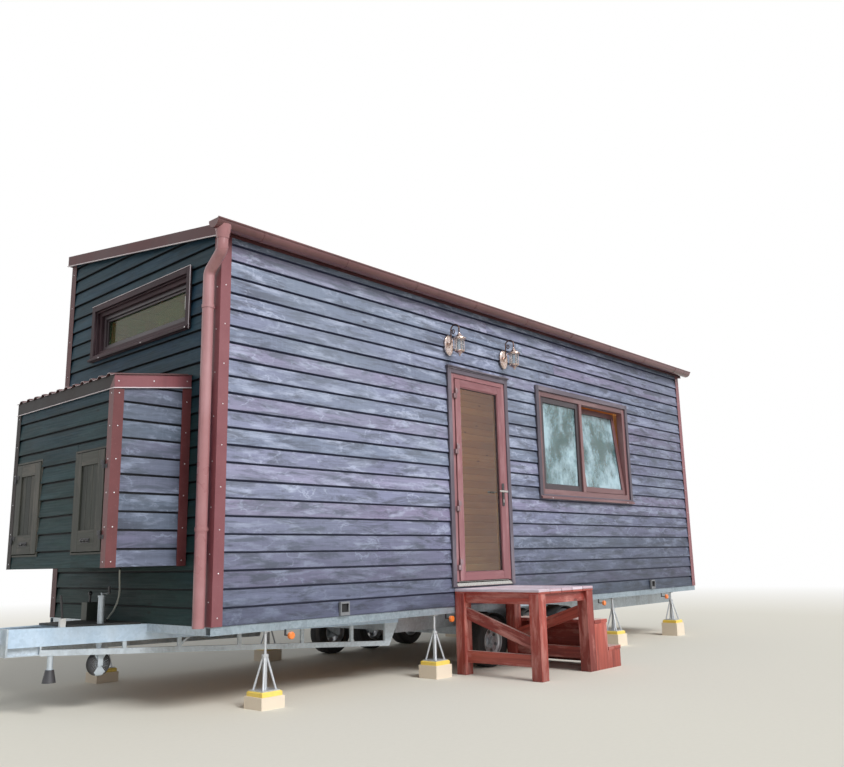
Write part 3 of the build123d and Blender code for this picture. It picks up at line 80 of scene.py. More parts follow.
def setCamera():
    lens = bpy.data.cameras.new("photoView")
    lens.sensor_width = cameraView["sensor"]
    lens.lens = cameraView["sensor"] * cameraView["focalPixels"] / cameraView["pictureWidth"]
    lens.clip_end = cameraView["farthest"]
    camera = placeObject("photoView", lens)
    right, up, back = Vector(cameraView["right"]), -Vector(cameraView["down"]), -Vector(cameraView["forward"])
    turn = Matrix((right, up, back)).transposed().to_4x4()
    camera.matrix_world = Matrix.Translation(Vector(cameraView["place"])) @ turn
    bpy.context.scene.camera = camera


setCamera()
print("camera set")


# Node helpers, so each finish below reads as a short recipe
def tint(red, green, blue):  # a screen colour, 0 to 255, as a socket takes it
    values = []
    for part in (red, green, blue):
        part = part / 255
        values.append(part / 12.92 if part <= 0.04045 else ((part + 0.055) / 1.055) ** 2.4)
    return (*values, 1)


def newFinish(name):
    finish = bpy.data.materials.new(name)
    finish.use_nodes = True
    return finish, finish.node_tree, finish.node_tree.nodes["Principled BSDF"]


def feed(tree, socket, value):  # value is a number, a colour or another node's output
    if isinstance(value, bpy.types.NodeSocket):
        tree.links.new(value, socket)
    else:
        socket.default_value = value


def addNode(tree, kind, values=None, sources=None):
    node = tree.nodes.new(kind)
    for key, value in (values or {}).items():
        if isinstance(key, str) and hasattr(node, key) and key not in node.inputs:
            setattr(node, key, value)
        else:
            node.inputs[key].default_value = value
    for key, source in (sources or {}).items():
        tree.links.new(source, node.inputs[key])
    return node


def ownPlace(tree):
    return addNode(tree, "ShaderNodeTexCoord").outputs["Object"]


def stretched(tree, source, scale, shift=(0, 0, 0)):
    node = addNode(tree, "ShaderNodeMapping", {"Scale": scale, "Location": shift}, {"Vector": source})
    return node.outputs["Vector"]


def cloudy(tree, vector, scale, detail=4, roughness=0.55, distortion=0):
    values = {"Scale": scale, "Detail": detail, "Roughness": roughness, "Distortion": distortion}
    return addNode(tree, "ShaderNodeTexNoise", values, {"Vector": vector}).outputs["Fac"]


def cells(tree, vector, scale, feature="F1", output="Distance"):
    node = addNode(tree, "ShaderNodeTexVoronoi", {"feature": feature, "Scale": scale}, {"Vector": vector})
    return node.outputs[output]


def cellValue(tree, vector, scale):  # one chance value for each cell
    colour = cells(tree, vector, scale, "F1", "Color")
    return addNode(tree, "ShaderNodeSeparateColor", None, {"Color": colour}).outputs["Red"]


def ramped(tree, factor, stops):  # stops are (place, colour or grey)
    node = addNode(tree, "ShaderNodeValToRGB", None, {"Fac": factor})
    ramp = node.color_ramp
    while len(ramp.elements) < len(stops):
        ramp.elements.new(0.5)
    for element, (place, colour) in zip(ramp.elements, stops):
        element.position = place
        element.color = colour if hasattr(colour, "__len__") else (colour, colour, colour, 1)
    return node.outputs["Color"]


def rising(tree, factor, start, end):
    return ramped(tree, factor, [(start, 0.0), (end, 1.0)])


def ranged(tree, value, low, high, fromLow=0.0, fromHigh=1.0):
    values = {"From Min": fromLow, "From Max": fromHigh, "To Min": low, "To Max": high}
    return addNode(tree, "ShaderNodeMapRange", values, {"Value": value}).outputs["Result"]


def mixed(tree, factor, first, second, blend="MIX"):
    node = addNode(tree, "ShaderNodeMix", {"data_type": "RGBA", "blend_type": blend, "clamp_factor": True})
    for place, value in ((0, factor), (6, first), (7, second)):
        feed(tree, node.inputs[place], value)
    return node.outputs[2]


def sums(tree, operation, first, second):
    node = addNode(tree, "ShaderNodeMath", {"operation": operation})
    feed(tree, node.inputs[0], first)
    feed(tree, node.inputs[1], second)
    return node.outputs["Value"]


def times(tree, first, second):
    return sums(tree, "MULTIPLY", first, second)


def marked(tree, colour, share, mark):  # mark is a strength and its screen colour
    return mixed(tree, times(tree, share, mark[0]), colour, tint(*mark[1:]))


def shaded(colour, share):
    return (*(part * share for part in colour[:3]), 1)


def bumped(tree, shader, height, strength, distance):
    node = addNode(tree, "ShaderNodeBump", {"Strength": strength, "Distance": distance}, {"Height": height})
    tree.links.new(node.outputs["Normal"], shader.inputs["Normal"])


def paintShader(tree, shader, colour, roughness):
    feed(tree, shader.inputs["Base Color"], colour)
    feed(tree, shader.inputs["Roughness"], roughness)


# Timber finishes. Their maps run along the grain in metres, and boardTone differs from board to board.
def timberFinish(name, look):
    finish, tree, shader = newFinish(name)
    coordinates = addNode(tree, "ShaderNodeTexCoord")
    grain, spot = coordinates.outputs["UV"], coordinates.outputs["Object"]
    tone, gap = (addNode(tree, "ShaderNodeAttribute", {"attribute_name": layer}).outputs["Fac"]
                 for layer in ("boardTone", "boardGapDirtAndShade"))

    def drawn(scale, detail, roughness, distortion=0, shift=(0, 0, 0)):  # clouds pulled out along the grain
        return cloudy(tree, stretched(tree, grain, scale, shift), 1, detail, roughness, distortion)

    def over(share, mark):
        return marked(tree, colour, share, look[mark])

    fibre = drawn((2.2, 95, 1), 6, 0.62)
    rings = drawn((0.8, 26, 1), 4, 0.6, 0.8)
    patches = drawn(look.get("patchMap", (1.5, 5.5, 1)), 6, 0.66, 0.3)
    count = len(look["tones"]) - 1
    colour = ramped(tree, tone, [(i / count, tint(*part)) for i, part in enumerate(look["tones"])])
    colour = over(ramped(tree, rings, [(0.32, 1.0), (0.5, 0.25), (0.66, 0.0)]), "rings")
    colour = over(rising(tree, fibre, 0.42, 0.7), "fibre")
    # pale rubbed patches along the grain: partly wear, partly painted sheen
    wearAndSheenMask = ramped(tree, fibre, [(0.3, 0.2), (0.55, 1.0)])
    colour = over(times(tree, rising(tree, patches, 0.5, 0.62), wearAndSheenMask), "wearAndSheen")
    if "saw" in look:  # faint marks across the grain, as the saw leaves them
        colour = over(rising(tree, drawn((75, 2.5, 1), 3, 0.6, 0.4), 0.5, 0.66), "saw")
    if "figure" in look:  # pale wavering marks where the grain turns
        place = stretched(tree, grain, (4.4, 8.5, 1))
        bend = addNode(tree, "ShaderNodeTexNoise", {"Scale": 2.2, "Detail": 4}, {"Vector": place}).outputs["Color"]
        bent = addNode(tree, "ShaderNodeVectorMath", {"operation": "MULTIPLY_ADD", 1: (1.1, 1.1, 1.1)},
                       {0: bend, 2: place}).outputs["Vector"]
        edges = cells(tree, bent, 1, "DISTANCE_TO_EDGE")
        lines = ramped(tree, edges, [(0.0, 1.0), (0.03, 0.6), (0.07, 0.0)])
        shown = drawn((2.4, 5, 1), 3, 0.6, shift=(3, 9, 0))
        colour = over(times(tree, lines, rising(tree, shown, 0.5, 0.6)), "figure")
    if "stains" in look:  # darker drawn-out stains, and a slow change of tint over the whole wall
        stains = drawn((2.6, 13, 1), 6, 0.7, 0.5, (7, 3, 0))
        colour = over(rising(tree, stains, 0.48, 0.61), "stains")
        colour = over(rising(tree, cloudy(tree, spot, 0.9, 3, 0.55), 0.36, 0.66), "drift")
    knotMap = stretched(tree, grain, look["knotMap"])
    knot = ramped(tree, cells(tree, knotMap, 1), [(0.0, 1.0), (0.07, 0.9), (0.12, 0.0)])
    colour = over(times(tree, knot, rising(tree, cellValue(tree, knotMap, 1), 0.5, 0.55)), "knots")
    if "top" in look:  # paler on the faces that look up: bleached where rain lies, and partly a painted highlight from the light above
        normal = addNode(tree, "ShaderNodeNewGeometry").outputs["Normal"]
        upward = addNode(tree, "ShaderNodeSeparateXYZ", None, {"Vector": normal}).outputs["Z"]
        upward = ranged(tree, upward, 0.0, 1.0, 0.8, 0.98)
        colour = over(times(tree, upward, ranged(tree, fibre, 1.0, 0.5, 0.4, 0.7)), "top")
    place = addNode(tree, "ShaderNodeSeparateXYZ", None, {"Vector": spot})
    # painted shade: darker towards the far end and towards the ground, each from one place to another
    for key, output, first, last in (("far", "X", 0, 1), ("low", "Z", 1, 0)):
        if key in look:
            start, end, share = look[key]
            shade = ranged(tree, place.outputs[output], first * share, last * share, start, end)
            colour = mixed(tree, shade, colour, tint(*look["paintedShadeColour"]), "MULTIPLY")
    # near-black on faces deep in the board gaps and on the lips' undersides: dirt and painted shade
    paintShader(tree, shader, over(gap, "gap"), ranged(tree, fibre, *look["gloss"], 0.3, 0.7))
    bumped(tree, shader, sums(tree, "ADD", fibre, times(tree, rings, 0.8)), look["relief"], 0.0015)
    shader.inputs["Specular IOR Level"].default_value = look["sheen"]
    return finish


# Colours are screen values. A mark, such as rings or stains, is a strength and its colour.
timberLooks = {
    # the stain as the lit front wall shows it; its pale blue-lavender is partly painted sheen
    "cladding": {
        "tones": [(104, 110, 134), (122, 134, 158), (134, 137, 168), (145, 135, 166), (156, 159, 190)],
        "rings": (0.5, 80, 84, 106), "fibre": (0.45, 96, 98, 118), "wearAndSheen": (0.65, 186, 194, 218),
        "saw": (0.1, 170, 178, 204), "figure": (0.65, 186, 194, 218), "stains": (0.8, 70, 74, 90),
        "drift": (0.4, 126, 138, 152), "knots": (0.5, 58, 56, 70), "gap": (0.92, 40, 46, 76),
        "far": (0.2, 3.4, 0.62), "low": (0.7, 1.6, 1.0), "paintedShadeColour": (160, 165, 172), "patchMap": (2.6, 10, 1),
        "knotMap": (3.4, 9.0, 1), "gloss": (0.42, 0.62), "relief": 0.6, "sheen": 0.55},
    # the same stain darkened to a middle level as painted shade, for the locker's sides and the rear end
    "midShadeCladding": {
        "tones": [(72, 80, 98), (86, 98, 116), (98, 104, 126), (102, 98, 124), (112, 118, 140)],
        "rings": (0.5, 58, 62, 80), "fibre": (0.45, 70, 74, 92), "wearAndSheen": (0.6, 156, 166, 190),
        "saw": (0.1, 130, 140, 166), "figure": (0.55, 156, 166, 190), "stains": (0.7, 50, 56, 70),
        "drift": (0.4, 92, 106, 120), "knots": (0.5, 44, 42, 54), "gap": (0.92, 16, 18, 28),
        "patchMap": (2.6, 10, 1), "knotMap": (3.4, 9.0, 1), "gloss": (0.42, 0.62), "relief": 0.6, "sheen": 0.55},
    # the same stain darkened and turned teal as painted shade, for the drawbar end and the locker's front
    "shadedCladding": {
        "tones": [(12, 44, 58), (16, 51, 68), (20, 57, 76), (22, 53, 78), (28, 64, 86)], "rings": (0.5, 16, 35, 44),
        "fibre": (0.4, 22, 42, 50), "wearAndSheen": (0.35, 56, 86, 100), "saw": (0.1, 62, 82, 92),
        "figure": (0.2, 56, 86, 100), "stains": (0.5, 20, 38, 46), "drift": (0.4, 34, 60, 66),
        "knots": (0.6, 18, 22, 26), "gap": (0.92, 8, 12, 18), "low": (1.7, 2.8, 1.0), "paintedShadeColour": (212, 226, 192),
        "patchMap": (2.6, 10, 1), "knotMap": (3.4, 9.0, 1), "gloss": (0.5, 0.7), "relief": 0.6, "sheen": 0.3},
    "doorWood": {
        "tones": [(129, 80, 85), (145, 94, 98), (159, 110, 113)], "rings": (0.5, 112, 64, 70),
        "fibre": (0.35, 126, 78, 82), "wearAndSheen": (0.3, 200, 160, 164), "knots": (0.0, 70, 40, 40),
        "gap": (0.92, 40, 24, 26), "knotMap": (1.3, 6.0, 1), "gloss": (0.28, 0.42), "relief": 0.25, "sheen": 0.6},
    "windowWood": {
        "tones": [(108, 74, 76), (120, 84, 86), (134, 96, 98)], "rings": (0.5, 86, 54, 56),
        "fibre": (0.35, 96, 64, 64), "wearAndSheen": (0.25, 168, 140, 140), "knots": (0.0, 70, 40, 40),
        "gap": (0.92, 40, 24, 26), "knotMap": (1.3, 6.0, 1), "gloss": (0.28, 0.42), "relief": 0.25, "sheen": 0.6},
    "loftWood": {
        "tones": [(48, 32, 38), (58, 41, 47), (70, 51, 56)], "rings": (0.45, 34, 22, 26),
        "fibre": (0.35, 42, 28, 32), "wearAndSheen": (0.3, 112, 90, 96), "knots": (0.0, 50, 36, 36),
        "gap": (0.92, 24, 18, 22), "knotMap": (1.3, 6.0, 1), "gloss": (0.5, 0.66), "relief": 0.3, "sheen": 0.3},
    "sashWood": {
        "tones": [(48, 38, 44), (58, 46, 52), (70, 58, 64)], "rings": (0.45, 38, 28, 32),
        "fibre": (0.3, 46, 36, 40), "wearAndSheen": (0.25, 104, 92, 98), "knots": (0.0, 50, 36, 36),
        "gap": (0.92, 24, 18, 22), "knotMap": (1.3, 6.0, 1), "gloss": (0.28, 0.42), "relief": 0.25, "sheen": 0.6},
    "trimWood": {
        "tones": [(72, 67, 78), (88, 81, 92), (102, 93, 104)], "rings": (0.45, 62, 54, 62),
        "fibre": (0.4, 70, 60, 68), "wearAndSheen": (0.4, 152, 142, 152), "knots": (0.5, 44, 38, 44),
        "gap": (0.92, 24, 20, 24), "knotMap": (1.6, 8.0, 1), "gloss": (0.4, 0.58), "relief": 0.45, "sheen": 0.5},
    "hatchWood": {
        "tones": [(38, 42, 36), (48, 52, 45), (60, 62, 54)], "rings": (0.5, 40, 38, 32), "fibre": (0.4, 48, 46, 42),
        "wearAndSheen": (0.4, 118, 108, 100), "knots": (0.6, 38, 38, 34), "gap": (0.92, 20, 22, 20),
        "knotMap": (2.0, 8.0, 1), "gloss": (0.45, 0.62), "relief": 0.5, "sheen": 0.45},
    "hatchPanel": {
        "tones": [(26, 32, 27), (34, 40, 34), (44, 49, 42)], "rings": (0.5, 28, 28, 24), "fibre": (0.4, 36, 36, 32),
        "wearAndSheen": (0.4, 98, 92, 84), "knots": (0.6, 28, 30, 26), "gap": (0.92, 14, 16, 14),
        "knotMap": (2.0, 8.0, 1), "gloss": (0.45, 0.62), "relief": 0.5, "sheen": 0.35},
    "pine": {
        "tones": [(190, 142, 92), (208, 162, 108), (220, 178, 124)], "rings": (0.5, 178, 118, 68),
        "fibre": (0.2, 200, 148, 94), "wearAndSheen": (0.15, 232, 198, 148), "knots": (0.9, 112, 66, 34),
        "gap": (0.92, 120, 76, 44), "knotMap": (3.2, 9.0, 1), "gloss": (0.4, 0.55), "relief": 0.2, "sheen": 0.5},
    "stepWood": {
        "tones": [(142, 60, 52), (176, 78, 66), (206, 104, 88)], "rings": (0.65, 108, 40, 36),
        "fibre": (0.4, 126, 52, 46), "wearAndSheen": (0.5, 232, 170, 160), "knots": (0.8, 86, 36, 30),
        "gap": (0.92, 50, 26, 24), "top": (0.9, 240, 218, 206), "low": (0.0, 0.45, 0.6),
        "paintedShadeColour": (170, 160, 160), "patchMap": (2.2, 9, 1), "knotMap": (3.4, 8.0, 1), "gloss": (0.35, 0.5),
        "relief": 0.35, "sheen": 0.5},
    # pale deck boards: partly weathering, partly a painted highlight of the sky on them
    "deckWeatherAndSheen": {
        "tones": [(200, 178, 190), (222, 206, 220), (236, 226, 238)], "rings": (0.75, 134, 88, 92),
        "fibre": (0.5, 150, 108, 114), "wearAndSheen": (0.6, 238, 230, 242), "knots": (0.8, 118, 72, 68),
        "gap": (0.92, 60, 40, 42), "patchMap": (2.2, 9, 1), "knotMap": (3.4, 8.0, 1), "gloss": (0.4, 0.55),
        "relief": 0.4, "sheen": 0.5},
    # pale timber of the stand blocks, brightened further as painted light
    "blockWoodWithPaintedLight": {
        "tones": [(234, 222, 204), (244, 234, 218), (250, 244, 232)], "rings": (0.4, 206, 184, 156),
        "fibre": (0.3, 214, 196, 172), "wearAndSheen": (0.3, 248, 244, 236), "knots": (0.5, 168, 136, 104),
        "gap": (0.92, 110, 96, 84), "knotMap": (2.0, 6.0, 1), "gloss": (0.6, 0.75), "relief": 0.5, "sheen": 0.35},
}
timber = {name: timberFinish(name, look) for name, look in timberLooks.items()}


# Sheet metal, castings, plastics, rubber and glass. Their maps use the object's own metres.
def coatedFinish(name, colour, faded, dirt, specks, gloss, coat=0.0, fineScale=60):
    finish, tree, shader = newFinish(name)
    spot = ownPlace(tree)
    broad = cloudy(tree, spot, 1.6, 4, 0.6)
    fine = cloudy(tree, spot, fineScale, 5, 0.6)
    runs = cloudy(tree, stretched(tree, spot, (14, 14, 0.9)), 1, 5, 0.65)
    colour = mixed(tree, rising(tree, broad, 0.35, 0.65), tint(*colour), tint(*faded))
    colour = marked(tree, colour, rising(tree, runs, 0.52, 0.72), dirt)
    colour = marked(tree, colour, rising(tree, fine, 0.6, 0.7), specks)
    paintShader(tree, shader, colour, ranged(tree, broad, *gloss, 0.3, 0.7))
    bumped(tree, shader, sums(tree, "ADD", fine, broad), 0.15, 0.0008)
    shader.inputs["Coat Weight"].default_value = coat
    shader.inputs["Coat Roughness"].default_value = 0.25
    return finish


coatedLooks = {  # colour, faded colour, dirt, specks, gloss, coat, scale of the fine grain
    "redSheet": ((120, 66, 72), (134, 82, 88), (0.35, 92, 58, 64), (0.12, 178, 140, 142), (0.32, 0.5), 0.15),
    "lockerRed": ((90, 42, 44), (106, 56, 58), (0.4, 72, 46, 50), (0.12, 168, 130, 132), (0.32, 0.5), 0.15),
    "redPipe": ((157, 108, 110), (174, 130, 133), (0.3, 110, 66, 66), (0.12, 196, 160, 160), (0.25, 0.42), 0.2),
    "gutterSheet": ((98, 60, 61), (116, 77, 78), (0.35, 72, 52, 52), (0.1, 140, 120, 122), (0.25, 0.42), 0.25),
    "roofCoat": ((88, 58, 58), (104, 74, 74), (0.4, 70, 62, 54), (0.2, 140, 124, 112), (0.4, 0.6), 0.1),
    # near-black red for trims in shade: painted shade
    "paintedShadeCoat": ((30, 26, 26), (42, 34, 34), (0.3, 28, 30, 28), (0.1, 90, 84, 86), (0.55, 0.7)),
    "vergeCoat": ((72, 36, 38), (86, 46, 48), (0.35, 58, 42, 44), (0.1, 130, 110, 112), (0.45, 0.6)),
    "blackIron": ((44, 44, 48), (62, 62, 66), (0.3, 84, 76, 68), (0.2, 96, 90, 84), (0.35, 0.55)),
    "darkPlate": ((36, 38, 40), (52, 54, 56), (0.4, 96, 90, 80), (0.3, 110, 104, 96), (0.5, 0.7)),
    "whitePlastic": ((226, 226, 224), (212, 212, 210), (0.2, 176, 172, 164), (0.05, 190, 188, 182), (0.3, 0.45)),
    "greyPlastic": ((116, 118, 122), (132, 134, 138), (0.3, 92, 88, 84), (0.1, 150, 150, 150), (0.45, 0.6)),
    "yellowPlastic": ((238, 204, 84), (244, 218, 116), (0.35, 190, 160, 84), (0.2, 206, 184, 128), (0.35, 0.5), 0.0,
                      90),
    "orangeLens": ((226, 110, 40), (236, 132, 58), (0.2, 170, 96, 52), (0.08, 240, 180, 130), (0.12, 0.22), 0.5),
    "rubber": ((40, 40, 42), (56, 56, 58), (0.45, 104, 98, 90), (0.2, 90, 86, 82), (0.65, 0.85), 0.0, 120),
    "seal": ((26, 26, 28), (36, 36, 38), (0.15, 60, 58, 56), (0.05, 60, 60, 60), (0.5, 0.65)),
    "valveGreen": ((58, 66, 60), (74, 82, 76), (0.3, 90, 86, 76), (0.15, 110, 112, 106), (0.45, 0.6)),
    "hingeCoat": ((132, 104, 108), (168, 148, 154), (0.3, 84, 56, 58), (0.1, 214, 206, 210), (0.25, 0.4), 0.3),
    # pale edge finish: the bright line of light along folded edges, a painted highlight
    "highlightDripEdge": ((216, 206, 210), (196, 184, 190), (0.2, 150, 128, 134), (0.1, 236, 232, 236), (0.25, 0.4), 0.2),
    "hoseRubber": ((206, 208, 200), (190, 192, 184), (0.25, 150, 146, 132), (0.08, 170, 168, 158), (0.4, 0.55)),
}
coated = {name: coatedFinish(name, *look) for name, look in coatedLooks.items()}


def metalFinish(name, colour, second, flakes, stained, bloomAndGlint, gloss, relief, metallic):
    finish, tree, shader = newFinish(name)
    spot = ownPlace(tree)
    flake = cellValue(tree, spot, flakes)
    stain = rising(tree, cloudy(tree, stretched(tree, spot, (9, 9, 1.4)), 1, 5, 0.65), 0.5, 0.74)
    bloomAndGlintMask = rising(tree, cloudy(tree, spot, 2.4, 5, 0.6), 0.52, 0.7)
    colour = mixed(tree, flake, tint(*colour), tint(*second))
    colour = marked(tree, marked(tree, colour, stain, stained), bloomAndGlintMask, bloomAndGlint)
    paintShader(tree, shader, colour, sums(tree, "ADD", ranged(tree, flake, *gloss), times(tree, stain, 0.15)))
    bumped(tree, shader, cloudy(tree, spot, 70, 4, 0.6), relief, 0.0006)
    shader.inputs["Metallic"].default_value = metallic
    return finish


metalLooks = {  # two colours, scale of the flakes, stains, pale bloom (on copper and bronze a painted highlight), gloss, relief, metallic
    "galvanised": ((178, 188, 196), (196, 206, 214), 55, (0.4, 138, 142, 142), (0.35, 214, 220, 224), (0.36, 0.5),
                   0.12, 0.55),
    # the galvanised finish darkened and blued for the side rails as painted shade
    "shadedRailZinc": ((142, 156, 166), (160, 174, 184), 55, (0.45, 104, 112, 116), (0.3, 180, 192, 200), (0.36, 0.5), 0.12,
                 0.5),
    "paleZinc": ((178, 200, 220), (192, 212, 232), 55, (0.25, 160, 168, 172), (0.3, 222, 232, 240), (0.36, 0.5), 0.12,
                 0.4),
    "standZinc": ((186, 190, 194), (200, 204, 208), 90, (0.3, 140, 138, 132), (0.25, 220, 222, 224), (0.32, 0.46),
                  0.1, 0.5),
    "rimSteel": ((184, 186, 190), (196, 198, 202), 80, (0.3, 120, 114, 104), (0.2, 214, 214, 214), (0.3, 0.45), 0.1,
                 0.6),
    "handleSteel": ((188, 186, 182), (198, 196, 192), 200, (0.1, 150, 146, 140), (0.1, 214, 212, 208), (0.22, 0.32),
                    0.05, 0.9),
    # the pale bloom of copper and bronze is a painted highlight
    "copper": ((190, 164, 150), (220, 204, 198), 60, (0.5, 112, 84, 74), (0.45, 216, 214, 220), (0.16, 0.3), 0.12,
               0.95),
    "bronze": ((86, 66, 62), (112, 88, 80), 60, (0.5, 58, 46, 46), (0.3, 176, 156, 148), (0.2, 0.34), 0.12, 0.9),
    "screwZinc": ((222, 224, 228), (232, 234, 238), 300, (0.1, 180, 180, 180), (0.1, 240, 240, 240), (0.25, 0.35),
                  0.03, 0.3),
}
metal = {name: metalFinish(name, *look) for name, look in metalLooks.items()}


def glassFinish(name, colour, gloss, paintedReflection=None):
    finish, tree, shader = newFinish(name)
    spot = ownPlace(tree)
    haze = cloudy(tree, spot, 3.0, 5, 0.6)
    shader.inputs["Transmission Weight"].default_value = 1.0
    shader.inputs["IOR"].default_value = 1.45
    smear = ramped(tree, haze, [(0.5, colour), (0.75, shaded(colour, 0.93))])
    paintShader(tree, shader, smear, ranged(tree, haze, *gloss, 0.4, 0.75))
    clear = addNode(tree, "ShaderNodeBsdfTransparent", {"Color": colour}).outputs["BSDF"]
    shadowRay = addNode(tree, "ShaderNodeLightPath").outputs["Is Shadow Ray"]
    pick = addNode(tree, "ShaderNodeMixShader", None, {0: shadowRay, 1: shader.outputs["BSDF"], 2: clear})
    if paintedReflection:  # painted reflection: a dull diffuse layer on the pane, between a dark and a pale colour, thicker in clouds
        share, dark, pale = paintedReflection
        cloud = cloudy(tree, stretched(tree, spot, (1.6, 1.6, 1.1)), 2.2, 6, 0.68)
        reflectionLayer = addNode(tree, "ShaderNodeBsdfDiffuse", None, {"Color": ramped(tree, cloud, [(0.4, dark), (0.6, pale)])})
        thick = ranged(tree, cloud, share * 0.7, share, 0.4, 0.62)
        sources = {0: thick, 1: pick.outputs["Shader"], 2: reflectionLayer.outputs["BSDF"]}
        pick = addNode(tree, "ShaderNodeMixShader", None, sources)
    tree.links.new(pick.outputs["Shader"], tree.nodes["Material Output"].inputs["Surface"])
    return finish


# a pane's third value is its painted reflection: share, dark colour and pale colour
glassLooks = {
    "doorGlass": (tint(214, 232, 232), (0.0, 0.03)), "lanternGlass": (tint(236, 240, 238), (0.02, 0.08)),
    "windowGlass": (tint(206, 232, 234), (0.0, 0.03), (0.55, tint(98, 132, 136), tint(196, 222, 234))),
    "loftGlass": (tint(196, 220, 204), (0.0, 0.03), (0.42, tint(44, 72, 48), tint(96, 120, 84))),
}
glass = {name: glassFinish(name, *look) for name, look in glassLooks.items()}
print("finishes made:", len(timber) + len(coated) + len(metal) + len(glass))


# Mesh helpers in house millimetres
def startMesh():
    mesh = bmesh.new()
    mesh.loops.layers.uv.new("UVMap")
    mesh.faces.layers.float.new("boardTone")
    mesh.faces.layers.float.new("boardGapDirtAndShade")
    return mesh


def layFace(mesh, corners, uvs=None, tone=0.5, gap=0.0):
    face = mesh.faces.new(corners)
    face[mesh.faces.layers.float["boardTone"]] = tone
    face[mesh.faces.layers.float["boardGapDirtAndShade"]] = gap
    if uvs:
        layer = mesh.loops.layers.uv.active
        for loop, uv in zip(face.loops, uvs):
            loop[layer].uv = uv
    return face


def addTimber(mesh, x, y, z, grain="x", rng=random.Random(3), turn=None):
    # one straight member between its lowest and highest x, y and z, with its grain along one axis
    shift = (rng.uniform(0, 40), rng.uniform(0, 40))
    tone = rng.random()
    axis = "xyz".index(grain)
    corners = [(a, b, c) for a in x for b in y for c in z]
    verts = []
    for corner in corners:
        place = at(*corner)
        verts.append(mesh.verts.new(turn @ place if turn else place))
    for quad in ((0, 1, 3, 2), (4, 6, 7, 5), (0, 4, 5, 1), (2, 3, 7, 6), (0, 2, 6, 4), (1, 5, 7, 3)):
        points = [corners[i] for i in quad]
        flat = [k for k in range(3) if len({p[k] for p in points}) == 1]
        across = [k for k in range(3) if k != axis and k not in flat] or [k for k in range(3) if k != axis]
        uvs = [(p[axis] / 1000 + shift[0], p[across[0]] / 1000 + shift[1]) for p in points]
        if flat and flat[0] == axis:  # end grain
            other = [k for k in range(3) if k != axis]
            uvs = [(p[other[0]] / 4000 + shift[0], p[other[1]] / 1000 + shift[1]) for p in points]
        layFace(mesh, [verts[i] for i in quad], uvs, tone)
    return verts


def addOutline(mesh, outline, start, end, lay, tone=0.5, turn=None):
    # a closed outline drawn from start to end; lay(a, b, along) places a point of it
    rows = []
    for along in (start, end):
        row = []
        for a, b in outline:
            place = at(*lay(a, b, along))
            row.append(mesh.verts.new(turn @ place if turn else place))
        rows.append(row)
    count = len(outline)
    run = 0
    for i in range(count):
        j = (i + 1) % count
        side = hypot(outline[j][0] - outline[i][0], outline[j][1] - outline[i][1])
        uvs = [(start / 1000, run / 1000), (start / 1000, (run + side) / 1000),
               (end / 1000, (run + side) / 1000), (end / 1000, run / 1000)]
        layFace(mesh, [rows[0][i], rows[0][j], rows[1][j], rows[1][i]], uvs, tone)
        run += side
    for row in rows:
        layFace(mesh, row, [(a / 1000, b / 1000) for a, b in outline], tone)


def crossAxes(direction):
    direction = direction.normalized()
    helper = Vector((0, 0, 1)) if abs(direction.z) < 0.9 else Vector((1, 0, 0))
    side = direction.cross(helper).normalized()
    return side, direction.cross(side).normalized()


def ringRound(mesh, centre, side, up, radius, sides):
    ring = []
    for k in range(sides):
        angle = 2 * pi * k / sides
        ring.append(mesh.verts.new(centre + (side * cos(angle) + up * sin(angle)) * radius / 1000))
    return ring


def joinRings(mesh, rings, closed=False, capped=True):  # a ring of one point closes to a tip
    for i in range(len(rings) if closed else len(rings) - 1):
        first, second = rings[i], rings[(i + 1) % len(rings)]
        sides = max(len(first), len(second))
        for k in range(sides):
            m = (k + 1) % sides
            if len(first) == 1:
                layFace(mesh, [first[0], second[m], second[k]])
            elif len(second) == 1:
                layFace(mesh, [first[k], first[m], second[0]])
            else:
                layFace(mesh, [first[k], first[m], second[m], second[k]])
    for ring in (rings[0][::-1], rings[-1]):
        if capped and not closed and len(ring) > 1:
            layFace(mesh, ring)


def addTube(mesh, points, radius, sides=12, closed=False):
    # a round bar through points given in house millimetres; radius may be one value or one a point
    places = [at(*point) for point in points]
    radii = radius if hasattr(radius, "__len__") else [radius] * len(places)
    rings = []
    side = None
    count = len(places)
    for i, place in enumerate(places):
        before = places[i - 1] if i > 0 or closed else place
        after = places[(i + 1) % count] if i < count - 1 or closed else place
        direction = (after - before).normalized()
        if side is None:
            side, up = crossAxes(direction)
        else:
            side = (side - direction * side.dot(direction)).normalized()
            up = direction.cross(side)
        rings.append(ringRound(mesh, place, side, up, radii[i], sides))
    joinRings(mesh, rings, closed)


def addTurned(mesh, centre, direction, profile, sides=24):
    # a turned piece: profile is (distance along the direction, radius) in millimetres
    middle, along = at(*centre), Vector(direction).normalized()
    side, up = crossAxes(along)
    rings = []
    for reach, radius in profile:
        spot = middle + along * reach / 1000
        rings.append(ringRound(mesh, spot, side, up, radius, sides) if radius > 0 else [mesh.verts.new(spot)])
    joinRings(mesh, rings)


def addDome(mesh, centre, direction, radius=6.5, height=3.5, sides=12):
    addTurned(mesh, centre, direction, [(-1, radius), (0.8, radius), (height * 0.7, radius * 0.7), (height, 0)], sides)


def addRing(mesh, depth, span, heights, faces, rng, along="x", turn=None):
    # round an opening in a wall along x or y: two uprights, then a head and a foot between them
    stile, head, foot = faces
    (start, end), (low, high) = span, heights
    between = (start + stile, end - stile)
    members = [((start, start + stile), heights, "z"), ((end - stile, end), heights, "z"),
               (between, (high - head, high), along)]
    if foot:
        members.append((between, (low, low + foot), along))
    for reach, rise, grain in members:
        x, y = (reach, depth) if along == "x" else (depth, reach)
        addTimber(mesh, x, y, rise, grain, rng, turn)


